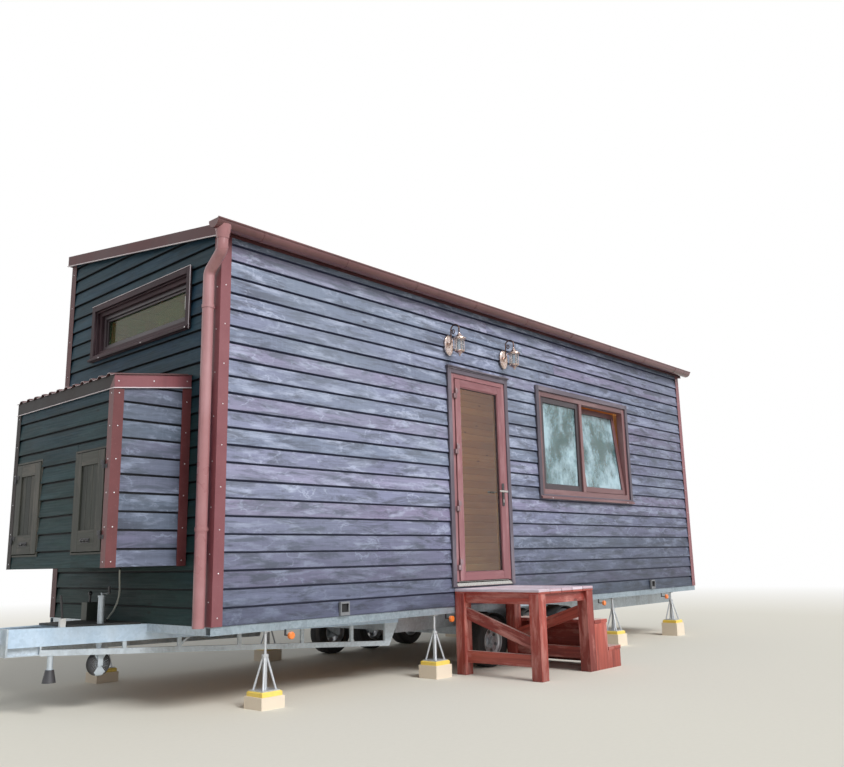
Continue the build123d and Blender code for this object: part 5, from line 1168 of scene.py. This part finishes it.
def makeTrims():
    rng = random.Random(91)
    w, t = trims["width"], trims["thick"]
    depth = (-t, 0)
    wood, loftWood, sill, highlightStrip = startMesh(), startMesh(), startMesh(), startMesh()
    x0, x1, z0, z1 = openings["door"]
    top = z1 + w
    addRing(wood, depth, (x0 - w, x1 + w), (z0, top), (w, w, None), rng)
    addTimber(wood, (x0 - w - 14, x1 + w + 14), (-t - trims["capProud"], 0), (top, top + trims["capHigh"]), "x", rng)
    addTimber(wood, (x0 - w - 4, x1 + w + 4), (-t - 7, 0), (top - 13, top), "x", rng)
    for name, mesh, ledge, grain in (("window", wood, sill, "x"), ("loft", loftWood, loftWood, "y")):
        a, b, low, high = openings[name]
        addRing(mesh, depth, (a - w, b + w), (low - w, high + w), (w, w, w), rng, grain)
        foot, proud = low - w, -trims["sillProud"]
        outline = [(proud, foot + 3), (proud, foot + 20), (-t, foot + trims["sillHigh"] + 8), (-t, foot + 3)]
        lay = {"x": lambda p, q, along: (along, p, q), "y": lambda p, q, along: (p, along, q)}[grain]
        addOutline(ledge, outline, a - w, b + w, lay)
    finishPiece("openingBoards", wood, timber["trimWood"], "trim_wood", edge=2.5, stands=("opening_trims",))
    finishPiece("windowSills", sill, timber["windowWood"], "joinery", edge=2.5)
    finishPiece("loftBoards", loftWood, timber["loftWood"], "trim_wood", edge=2.5)
    # the pale strip stands for the lit top and near edges of the loft's boards: a painted highlight
    edge, x = trims["highlightStrip"], (-t - 2, 3 - t)  # pale strip on the top and the near edge of the loft's boards
    addTimber(highlightStrip, x, (a - w - edge, b + w), (high + w, high + w + edge), "y", rng)
    addTimber(highlightStrip, x, (a - w - edge, a - w), (low - w, high + w), "z", rng)
    finishPiece("loftHighlightStrip", highlightStrip, coated["highlightDripEdge"], "trim_metal")


makeWindows()
makeLoftWindow()
makeTrims()
print("windows set")

# Steps at the door
steps = {"left": 2640, "width": 880, "reach": 940, "top": 158, "deck": 40, "boards": 5, "gap": 6, "leg": 106,
         "rail": 104, "railThick": 40, "lowRail": -388, "apron": 88, "fall": 240, "run": 222,
         "treads": (-152, -408), "tread": 34, "side": 34}


def addPlate(mesh, sides, ends, spans, deep, tone, shift):  # a board cut to an outline, its two faces in metres
    rows = [[mesh.verts.new(place) for place in row] for row in sides]
    for row in rows:
        layFace(mesh, row, ends, tone)
    for k, span in enumerate(spans):
        m = (k + 1) % len(spans)
        uvs = [(shift, 0), (shift + span, 0), (shift + span, deep), (shift, deep)]
        layFace(mesh, [rows[0][k], rows[0][m], rows[1][m], rows[1][k]], uvs, tone)


def makeSteps():
    rng = random.Random(101)
    ground, reach, gap = house["ground"], steps["reach"], steps["gap"]
    x0, x1 = steps["left"], steps["left"] + steps["width"]
    pitch = (steps["width"] + gap) / steps["boards"]
    starts = [x0 + i * pitch for i in range(steps["boards"])]
    # the deck's top layer takes the pale deck finish, part weathering and part painted highlight; its lower layer the
    # red step wood
    for name, look, edge, inset, high, low, more in (
            ("stepDeckBoards", "deckWeatherAndSheen", 4, 0, 0, 24, {"stands": ("step_deck",), "segments": 3}),
            ("stepDeckUnderside", "stepWood", 2, 1, 25, 40, {})):
        mesh = startMesh()
        for a in starts:
            addTimber(mesh, (a + inset, a + pitch - gap - inset), (-reach + inset, -inset),
                      (steps["top"] - low, steps["top"] - high), "y", rng)
        finishPiece(name, mesh, timber[look], "step_wood", edge=edge, **more)
    wood = startMesh()
    top = steps["top"] - steps["deck"]
    y0, y1 = -reach + 6, 0
    leg, t, rail = steps["leg"], steps["railThick"], steps["rail"]
    inset = (leg - t) / 2
    for x in (x0, x1 - leg):
        for y in (y0, y1 - leg):
            addTimber(wood, (x, x + leg), (y, y + leg), (ground, top), "z", rng)
    near, wall, apron = y0 + leg - 2, y1 - leg + 2, (top - steps["apron"], top)
    for y in (y0 + inset, y1 - leg + inset):
        addTimber(wood, (x0 + leg - 2, x1 - leg + 2), (y, y + t), apron, "x", rng)
    for x in (x0 + inset, x1 - leg + inset):
        for rise in (apron, (steps["lowRail"] - rail, steps["lowRail"])):
            addTimber(wood, (x, x + t), (near, wall), rise, "y", rng)
    high = top - steps["apron"] - 40
    run = hypot(wall - near, steps["fall"]) / 1000
    for x, head, foot in ((x0 + inset + 1, wall, near), (x1 - leg + inset + 1, near, wall)):  # sloped braces
        outline = [(head, high), (head, high - rail), (foot, high - rail - steps["fall"]), (foot, high - steps["fall"])]
        lift = atan2(outline[3][1] - outline[0][1], outline[3][0] - outline[0][0])
        tone, shift = rng.random(), rng.uniform(0, 40)
        ends = [((p * cos(lift) + q * sin(lift)) / 1000 + shift, (q * cos(lift) - p * sin(lift)) / 1000)
                for p, q in outline]
        rows = [[at(x + side, p, q) for p, q in outline] for side in (0, t - 2)]
        addPlate(wood, rows, ends, [run] * 4, 0.04, tone, shift)
    finishPiece("stepFrameWood", wood, timber["stepWood"], "step_wood", edge=4, stands=("step_frame",), segments=3)
    flight = startMesh()
    first, second = steps["treads"]
    run, tread, side = steps["run"], steps["tread"], steps["side"]
    for y in (y0, y1 - side):
        cut = [(x1, ground), (x1 + 2 * run - 6, ground), (x1 + 2 * run - 6, second - tread),
               (x1 + run - 6, second - tread), (x1 + run - 6, first - tread), (x1, first - tread)]
        tone, shift = rng.random(), rng.uniform(0, 40)
        spans = [hypot(c - a, d - b) / 1000 for (a, b), (c, d) in zip(cut, cut[1:] + cut[:1])]
        ends = [(q / 1000 + shift, p / 1000) for p, q in cut]
        rows = [[at(p, y + s, q) for p, q in cut] for s in (0, side)]
        addPlate(flight, rows, ends, spans, 0.03, tone, shift)
    for start, height in zip((x1, x1 + run), steps["treads"]):
        for a, b in ((start, start + run / 2 - 2), (start + run / 2 + 2, start + run)):
            addTimber(flight, (a, b), (y0 - 4, y1), (height - tread, height), "y", rng)
    for start, low, height in ((x1, second, first), (x1 + run, ground + 20, second)):  # risers between the side boards
        addTimber(flight, (start + run - 26, start + run - 8), (y0 + side, y1 - side), (low, height - tread), "y", rng)
    finishPiece("stepFlightWood", flight, timber["stepWood"], "step_wood", edge=3, stands=("step_flight",))
    bolts = startMesh()
    for a in starts:
        middle = a + (pitch - gap) / 2
        for y in (-reach + 50, -58):
            for side in (-48, 48):
                addDome(bolts, (middle + side, y, steps["top"]), (0, 0, 1), 5, 1.2, 10)
    finishPiece("stepScrews", bolts, metal["screwZinc"], "stand_metal", smooth=True)


makeSteps()
print("steps built")
# Wheels: tyre with its tread, pressed rim with holes, hub and nuts
wheel = {
    "places": (3230, 3865, 4500), "near": 110, "far": 2390, "hub": -360, "radius": 240, "width": 188,
    "seat": 132, "sections": 96, "grooveDepth": 5, "holes": 6, "holeRadius": 23, "holeCircle": 99,
}


def wheelPoint(angle, radius, depth):  # depth runs from the outer face, towards the middle of the house
    return Vector((radius * cos(angle) / 1000, depth / 1000, radius * sin(angle) / 1000))


def wheelRing(mesh, radius, depth, sides, centre=(0, 0)):
    ring = []
    for k in range(sides):
        angle = 2 * pi * k / sides
        x, z = centre[0] + radius * cos(angle), centre[1] + radius * sin(angle)
        ring.append(mesh.verts.new(Vector((x / 1000, depth / 1000, z / 1000))))
    return ring


def sweepRound(mesh, profile, count, cut=lambda k, depth, radius: 0):
    rings = [[mesh.verts.new(wheelPoint(2 * pi * k / count, radius - cut(k, depth, radius), depth))
              for depth, radius in profile] for k in range(count)]
    joinRings(mesh, rings, closed=True)


def makeTyreMesh():
    mesh = startMesh()
    half, r, seat, d = (wheel[key] for key in ("width", "radius", "seat", "grooveDepth"))
    half /= 2
    side = [(-half + 16, seat + 2), (-half + 8, seat + 10), (-half + 3, seat + 24), (-half, seat + 44),
            (-half, seat + 50), (-half + 1.5, seat + 53), (-half + 1.5, seat + 62), (-half + 0.5, seat + 66),
            (-half + 3, r - 30), (-half + 10, r - 12), (-half + 18, r - 4)]
    tread = [(-half + 22, r - 1.5), (-half + 48, r), (-half + 50, r - d), (-half + 56, r - d), (-half + 58, r),
             (-14, r), (-12, r - d), (-6, r - d), (-4, r), (4, r), (6, r - d), (12, r - d), (14, r),
             (half - 58, r), (half - 56, r - d), (half - 50, r - d), (half - 48, r), (half - 22, r - 1.5)]

    def cut(k, depth, radius):  # cross cuts in the shoulder blocks, and shallow ones in the middle
        if k % 3 == 0 and radius > r - 3 and abs(depth) > 38:
            return d - 0.5
        return 1.6 if k % 4 == 1 and radius > r - 1 and abs(depth) < 38 else 0

    sweepRound(mesh, side + tread + [(-a, b) for a, b in side[::-1]], wheel["sections"], cut)
    return mesh


def makeRimMesh():
    mesh = startMesh()
    half, seat = wheel["width"] / 2, wheel["seat"]
    well = [(-half + 10, seat + 5), (-half + 8, seat + 1), (-half + 12, seat - 3), (-half + 30, seat - 6),
            (-half + 42, seat - 22), (half - 50, seat - 22), (half - 30, seat - 6), (half - 12, seat - 3),
            (half - 8, seat + 1), (half - 10, seat + 5), (half - 14, seat + 3), (half - 30, seat - 2),
            (half - 46, seat - 18), (-half + 40, seat - 18), (-half + 28, seat - 2), (-half + 14, seat + 3)]
    sweepRound(mesh, well, 48)
    # pressed disc, filled between its edge, the hub and the round holes
    circle = wheel["holeCircle"] * 0.9
    faces = []
    for depth in (-half + 52, -half + 58):
        loops = [wheelRing(mesh, seat - 20, depth, 48), wheelRing(mesh, 60, depth, 36)]
        for n in range(wheel["holes"]):
            angle = 2 * pi * n / wheel["holes"]
            centre = (circle * cos(angle), circle * sin(angle))
            loops.append(wheelRing(mesh, wheel["holeRadius"] - 4, depth, 20, centre))
        edges = [mesh.edges.new((a, b)) for loop in loops for a, b in zip(loop, loop[1:] + loop[:1])]
        bmesh.ops.triangle_fill(mesh, use_beauty=True, use_dissolve=False, edges=edges)
        faces.append(loops)
    for a, b in zip(*faces):
        for k in range(len(a)):
            m = (k + 1) % len(a)
            mesh.faces.new((a[k], a[m], b[m], b[k]))
    return mesh


def makeHubMesh():
    mesh = startMesh()
    half = wheel["width"] / 2
    cap = [(15, 16), (17, 27), (22, 31), (45, 34), (45, 57), (49, 62), (58, 62)]
    drum = [(58, 24), (58, 62), (half + 34, 62), (half + 34, 24)]
    nut = [(30, 5), (30, 9.5), (44, 9.5), (45, 11.5), (47, 11.5)]
    turned = [(cap, 32, (0, 0)), (drum, 32, (0, 0))]
    for n in range(5):
        angle = 2 * pi * n / 5 + 0.3
        turned.append((nut, 6, (47 * cos(angle), 47 * sin(angle))))
    for profile, sides, centre in turned:  # distances are from the tyre's outer side
        joinRings(mesh, [wheelRing(mesh, radius, inward - half, sides, centre) for inward, radius in profile])
    return mesh


def makeWheels():
    built = {}
    for name, mesh, finish in (("Tyre", makeTyreMesh(), coated["rubber"]), ("Rim", makeRimMesh(), metal["rimSteel"]),
                               ("Hub", makeHubMesh(), metal["galvanised"])):
        bmesh.ops.recalc_face_normals(mesh, faces=mesh.faces)
        data = bpy.data.meshes.new("wheel" + name)
        mesh.to_mesh(data)
        mesh.free()
        data.materials.append(finish)
        data.shade_smooth()
        data.set_sharp_from_angle(angle=radians(32))
        built[name] = data
    for side, y, turn in (("near", wheel["near"], 0), ("far", wheel["far"], pi)):
        for number, x in enumerate(wheel["places"], 1):
            spin = Matrix.Rotation(0.35 * number, 4, "Y")
            for name, data in built.items():
                piece = placeObject(f"{side}Wheel{number}{name}", data.copy())
                piece.data.transform(Matrix.Translation(at(x, y, wheel["hub"])) @ Matrix.Rotation(turn, 4, "Z") @ spin)
                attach(piece, f"{side}_wheel_{number}_body")
                if name == "Tyre":
                    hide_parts(f"{side}_wheel_{number}")


makeWheels()
print("wheels fitted")

# Screws on the sheet trims, lines of them along each folded edge
screws = {
    "radius": 4.6, "height": 2.6, "step": 322, "lockerStep": 260, "slopeStep": 280, "inset": 44, "lockerInset": 32,
    "sillRadius": 6, "sillDrop": 40, "windowSill": (4300, 5950), "loftSill": (418, 1081, 1798),
}
highlightDripEdge = {
    "out": 9, "high": 5, "fascia": 96, "sheet": 3, "roofFace": 38, "roofBack": 27, "roofNear": -31, "roofFar": 2541,
    "roofLow": 2893,
}


def screwLine(mesh, start, end, direction, step=screws["step"]):
    a, b = Vector(start), Vector(end)
    count = max(1, round((b - a).length / step))
    for i in range(count + 1):
        addDome(mesh, a.lerp(b, i / count), direction, screws["radius"], screws["height"], 10)


def makeScrews():
    mesh = startMesh()
    low, high, inset, step = 60, frontTop - 90, screws["inset"], screws["lockerStep"]
    for x in (inset, length - inset):
        screwLine(mesh, (x, -2, low), (x, -2, high), (0, -1, 0))
        screwLine(mesh, (x, width + 2, low), (x, width + 2, backTop - 90), (0, 1, 0))
    for y, top in ((inset, frontTop - 80), (width - inset, backTop - 110)):
        for x, out in ((-2, -1), (length + 2, 1)):
            screwLine(mesh, (x, y, low + 110), (x, y, top), (out, 0, 0))
    near, far, depth = locker["near"], locker["far"], locker["depth"]
    foot, head = locker["bottom"] + 40, underLockerRoof(-depth) - 130
    for y in (near + screws["lockerInset"], far - screws["lockerInset"]):
        screwLine(mesh, (-depth - 3, y, foot), (-depth - 3, y, head), (-1, 0, 0), step)
    a, b = -depth + 30, -40
    for y, out in ((near - 3, -1), (far + 3, 1)):
        for x in (-depth + 38, -38):
            screwLine(mesh, (x, y, foot), (x, y, head), (0, out, 0), step)
        ends = [(x, y, underLockerRoof(x) - 48) for x in (a, b)]
        screwLine(mesh, *ends, (0, out, 0), screws["slopeStep"])
    radius, drop, proud = screws["sillRadius"], screws["sillDrop"], -trims["sillProud"]
    for place in screws["windowSill"]:
        addDome(mesh, (place, proud, openings["window"][2] - drop), (0, -1, 0), radius, radius / 2, 10)
    for place in screws["loftSill"]:
        addDome(mesh, (proud, place, openings["loft"][2] - drop), (-1, 0, 0), radius, radius / 2, 10)
    finishPiece("trimScrews", mesh, metal["screwZinc"], "fitting_metal", smooth=True)


# the lips are real; their pale finish is a painted highlight along the lit edge
def makeHighlightDripEdges():  # folded lips along the lower edges of the locker's fascias, and edges on the roof's slopes
    mesh = startMesh()
    out, high, sheet, fascia = (highlightDripEdge[key] for key in ("out", "high", "sheet", "fascia"))
    near, far, face = locker["near"] - sheet, locker["far"] + sheet, -locker["depth"] - sheet
    lip = [(0, -high), (out, -high), (out, -high + 2), (2, -high + 2), (2, 3), (0, 3)]
    low = underLockerRoof(-locker["depth"]) - fascia
    addOutline(mesh, [(face - p, low + q) for p, q in lip], near, far, lambda p, q, along: (p, along, q))
    ends = [(face, low), (-2, underLockerRoof(-2) - fascia)]
    for y, side in ((near, -1), (far, 1)):
        joinRings(mesh, [[mesh.verts.new(at(x, y + side * p, z + q)) for p, q in lip] for x, z in ends])
    finishPiece("lockerHighlightDripEdges", mesh, coated["highlightDripEdge"], "trim_metal")
    mesh = startMesh()
    face, back, start = highlightDripEdge["roofFace"], highlightDripEdge["roofBack"], highlightDripEdge["roofNear"]
    ends = [(y, highlightDripEdge["roofLow"] + (y - start) * house["roofRise"]) for y in (start, highlightDripEdge["roofFar"])]
    for a, b in ((-face, -back), (length + back, length + face)):
        outline = ((a, -5), (b, -5), (b, 3), (a, 3))
        joinRings(mesh, [[mesh.verts.new(at(x, y, z + q)) for x, q in outline] for y, z in ends])
    finishPiece("roofHighlightDripEdges", mesh, coated["highlightDripEdge"], "trim_metal", edge=1.5)


makeScrews()
makeHighlightDripEdges()
print("trims screwed on")

# Wall lanterns around their CAD glasses: profiles are (distance, radius), heights are from the plate's middle
lantern = {
    "places": (2640, 3536), "height": 2486, "reach": 150, "foot": -82, "top": 42, "oval": 0.62,
    "plate": [(0, 98), (8, 104), (19, 102), (25, 92), (20, 82), (16, 40), (20, 26), (30, 22), (34, 10), (34, 0)],
    "cap": [(-8, 46), (-3, 47), (-3, 67), (0, 70), (5, 69), (10, 58), (13, 46), (27, 38), (41, 22), (45, 14), (53, 15),
            (58, 9), (66, 8), (66, 0)],
    "armFoot": ((18, 4), (38, 12), (46, 34), (46, 148)), "bendFlat": 0.92, "scrollDrop": 22, "scrollRadius": 5,
    "base": [(-8, 47), (0, 51), (5, 49), (9, 38), (17, 26), (27, 13), (34, 7), (38, 10), (45, 8), (49, 0)],
    "bars": 6, "barRadius": 3, "barReach": 46, "arm": 7, "stand": 46, "rise": 148, "curl": 27,
}


def makeLanterns():
    metalwork, arms = startMesh(), startMesh()
    z, reach, stand, rise, curl = (lantern[key] for key in ("height", "reach", "stand", "rise", "curl"))
    low, top = z + lantern["foot"], z + lantern["top"]
    bend = (reach - stand) / 2
    for place in lantern["places"]:
        before = len(metalwork.verts)
        addTurned(metalwork, (place, 0, z), (0, -1, 0), lantern["plate"], 40)
        metalwork.verts.ensure_lookup_table()
        middle = at(place, 0, z).x
        for vert in metalwork.verts[before:]:
            vert.co.x = middle + (vert.co.x - middle) * lantern["oval"]
        addTurned(metalwork, (place, -reach, top), (0, 0, 1), lantern["cap"], 32)
        addTurned(metalwork, (place, -reach, low), (0, 0, -1), lantern["base"], 32)
        for i in range(lantern["bars"]):
            angle = 2 * pi * i / lantern["bars"]
            x, y = place + lantern["barReach"] * cos(angle), -reach + lantern["barReach"] * sin(angle)
            addTube(metalwork, [(x, y, low - 2), (x, y, top + 4)], lantern["barRadius"], 8)
        path = [(place, -out, z + up) for out, up in lantern["armFoot"]]
        for i in range(1, 13):
            angle = pi * i / 12
            up = bend * sin(angle) * lantern["bendFlat"]
            path.append((place, -stand - bend + bend * cos(angle), z + rise + up))
        addTube(arms, path + [(place, -reach, top + 60)], lantern["arm"], 12)
        scroll = []
        for i in range(25):  # curl inside the bend
            angle, radius = pi * (1 - i / 9), curl * (1 - i / 30)
            up = rise - lantern["scrollDrop"] + radius * sin(angle)
            scroll.append((place, -stand - curl - 2 - radius * cos(angle), z + up))
        addTube(arms, scroll, lantern["scrollRadius"], 8)
    finishPiece("lanternMetal", metalwork, metal["copper"], "copper", smooth=True, stands=("lanterns",))
    finishPiece("lanternArms", arms, metal["bronze"], "copper", smooth=True)


makeLanterns()
print("lanterns hung")

# CAD nodes that keep their shape and take a finish
dressed = {
    "floor_deck": timber["pine"], "roof_panel": timber["trimWood"], "roof_sheet": coated["roofCoat"],
    "roof_edge_trims": coated["vergeCoat"], "gutter": coated["gutterSheet"], "downpipe": coated["redPipe"],
    "corner_trims": coated["redSheet"], "door_glass": glass["doorGlass"], "window_panes": glass["windowGlass"],
    "door_plates": coated["blackIron"], "door_lever": metal["handleSteel"], "locker_floor": timber["hatchWood"],
    "locker_roof": coated["roofCoat"], "locker_trims": coated["lockerRed"], "side_rails": metal["shadedRailZinc"],
    "cross_members": metal["galvanised"], "main_beams": metal["galvanised"], "drawbar_arms": metal["paleZinc"],
    "drawbar_braces": metal["galvanised"], "drawbar_plate": coated["darkPlate"], "coupling": metal["galvanised"],
    "hand_brake": coated["blackIron"], "jockey_wheel": metal["galvanised"], "drawbar_fittings": metal["galvanised"],
    "axles": metal["galvanised"], "mudguards": coated["darkPlate"], "jack_stands": metal["standZinc"],
    "stand_plates": coated["yellowPlastic"], "stand_blocks": timber["blockWoodWithPaintedLight"], "marker_lamps": coated["orangeLens"],
    "wall_inlets": coated["greyPlastic"], "lantern_glasses": glass["lanternGlass"],
}


def dressNodes():
    for name, finish in dressed.items():
        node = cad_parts[name]
        node.data.materials.clear()
        node.data.materials.append(finish)
        for polygon in node.data.polygons:
            polygon.material_index = 0


# where each second finish begins, in house millimetres
parted = {
    "trimEnd": 30, "drawbarEnd": 200, "fascia": 97, "roofLip": -638, "inletFace": -15, "inletHeights": (31, 99),
    "inlets": ((1205, 1283), (6454, 6532)), "lampFace": 23.5, "sleeve": (-1412, -1256), "socket": -1392,
    "jockeyTyre": -184, "jockeyMiddle": (-292, 31), "jockeyHandle": (-246, 224), "brakeGrip": 62, "valveFoot": 10,
    "supportClamp": (-282, 118),
}


def onFascia(x, z):
    return z > underLockerRoof(x) - parted["fascia"]


def onInlet(x, y, z):
    low, high = parted["inletHeights"]
    return y > parted["inletFace"] and low < z < high and any(a < x < b for a, b in parted["inlets"])


def dressPart(name, finish, picked):
    # a second finish on the faces of a node that picked(x, y, z) names, in house millimetres
    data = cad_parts[name].data
    data.materials.append(finish)
    index = len(data.materials) - 1
    for polygon in data.polygons:
        x, y, z = polygon.center * 1000
        if picked(x + house["middle"][0], y + house["middle"][1], z + house["ground"]):
            polygon.material_index = index


dressNodes()
for name, finish, picked in (
        # the pale ends of the roof's edge trims: a painted highlight
        ("roof_edge_trims", coated["highlightDripEdge"],
         lambda x, y, z: not -parted["trimEnd"] < x < length + parted["trimEnd"]),
        # the far corner trim of the shaded drawbar end takes the darker verge red: painted shade
        ("corner_trims", coated["vergeCoat"],
         lambda x, y, z: x < parted["drawbarEnd"] and y > width - parted["drawbarEnd"]),
        # the locker trims' far side and front fascia are painted near-black as painted shade
        ("locker_trims", coated["paintedShadeCoat"],
         lambda x, y, z: y > locker["far"] - 100 or x < 1 - locker["depth"] and onFascia(x, z)),
        # the locker's near fascia takes the paler red of the corner trims where light falls on it: painted light
        ("locker_trims", coated["redSheet"], lambda x, y, z: y < locker["near"] - 1 and onFascia(x, z)),
        ("window_panes", glass["loftGlass"], lambda x, y, z: x < parted["drawbarEnd"]),
        # the locker roof's outer lip in the pale edge finish: a painted highlight
        ("locker_roof", coated["highlightDripEdge"], lambda x, y, z: x < parted["roofLip"]),
        ("wall_inlets", coated["seal"], onInlet),
        ("marker_lamps", coated["blackIron"], lambda x, y, z: -parted["lampFace"] < y < width + parted["lampFace"]),
        ("coupling", coated["rubber"], lambda x, y, z: parted["sleeve"][0] < x < parted["sleeve"][1]),
        ("coupling", coated["blackIron"], lambda x, y, z: x < parted["socket"]),
        ("jockey_wheel", coated["rubber"],
         lambda x, y, z: z < parted["jockeyTyre"] and abs(x - parted["jockeyMiddle"][0]) > parted["jockeyMiddle"][1]),
        ("jockey_wheel", coated["blackIron"],
         lambda x, y, z: x > parted["jockeyHandle"][0] and z > parted["jockeyHandle"][1]),
        ("hand_brake", coated["whitePlastic"], lambda x, y, z: z < parted["brakeGrip"]),
        ("drawbar_fittings", coated["valveGreen"], lambda x, y, z: z > parted["valveFoot"] and y > width / 2),
        ("drawbar_fittings", coated["blackIron"],
         lambda x, y, z: not parted["supportClamp"][0] <= z <= parted["supportClamp"][1])):
    dressPart(name, finish, picked)
print("nodes dressed")

# Pale floor, world and lamps
studio = {
    "floor": tint(222, 218, 206), "floorHalf": 60, "fade": (8, 20), "ambient": 0.42,
    "ambientColour": (0.93, 0.96, 1.0, 1), "white": (1, 1, 1, 1),
    "suns": {"keyLight": (2.7, 24, (0.04, 0.78, -0.62)), "fillLight": (0.25, 60, (0.5, 0.5, -0.6))},
    "room": (3900, 1250, 2350), "roomPower": 62, "roomColour": (1.0, 0.78, 0.55), "roomRadius": 0.3,
}


def seenRays(tree):  # 1 for rays that come from the camera, straight or by way of glass or gloss
    path = addNode(tree, "ShaderNodeLightPath")
    seen = sums(tree, "MAXIMUM", path.outputs["Is Camera Ray"], path.outputs["Is Glossy Ray"])
    return sums(tree, "MAXIMUM", seen, path.outputs["Is Transmission Ray"])


def addLamp(name, kind, power):
    lamp = bpy.data.lights.new(name, kind)
    lamp.energy = power
    return lamp, placeObject(name, lamp)


def makeStudio():
    world = bpy.data.worlds.new("studio")
    world.use_nodes = True
    bpy.context.scene.world = world
    tree = world.node_tree
    back, seen = tree.nodes["Background"], seenRays(tree)
    tree.links.new(mixed(tree, seen, studio["ambientColour"], studio["white"]), back.inputs["Color"])
    tree.links.new(ranged(tree, seen, studio["ambient"], 1.0), back.inputs["Strength"])
    for name, (power, angle, way) in studio["suns"].items():
        lamp, holder = addLamp(name, "SUN", power)
        lamp.angle = radians(angle)
        holder.rotation_euler = Vector(way).to_track_quat("-Z", "Y").to_euler()
    lamp, holder = addLamp("roomLamp", "POINT", studio["roomPower"])
    lamp.color = studio["roomColour"]
    lamp.shadow_soft_size = studio["roomRadius"]
    holder.location = at(*studio["room"])
    holder.visible_camera = holder.visible_glossy = holder.visible_transmission = False
    mesh = startMesh()
    r = studio["floorHalf"]
    layFace(mesh, [mesh.verts.new((x, y, 0)) for x, y in ((-r, -r), (r, -r), (r, r), (-r, r))])
    data = bpy.data.meshes.new("studioFloor")
    mesh.to_mesh(data)
    mesh.free()
    floor = placeObject("studioFloor", data)
    finish, tree, shader = newFinish("studioFloor")
    spot = ownPlace(tree)
    grit = cloudy(tree, spot, 30, 5, 0.6)
    paintShader(tree, shader, mixed(tree, grit, studio["floor"], shaded(studio["floor"], 0.94)), 0.9)
    distance = addNode(tree, "ShaderNodeVectorMath", {"operation": "LENGTH"}, {0: spot}).outputs["Value"]
    glowing = times(tree, seenRays(tree), ranged(tree, distance, 0, 1, *studio["fade"]))
    glow = addNode(tree, "ShaderNodeEmission", {"Color": studio["white"], "Strength": 1.0}).outputs["Emission"]
    blend = addNode(tree, "ShaderNodeMixShader", None, {0: glowing, 1: shader.outputs["BSDF"], 2: glow})
    tree.links.new(blend.outputs["Shader"], tree.nodes["Material Output"].inputs["Surface"])
    data.materials.append(finish)


makeStudio()
bpy.context.scene.view_settings.view_transform = "Standard"
print("studio lit")

bpy.context.view_layer.update()
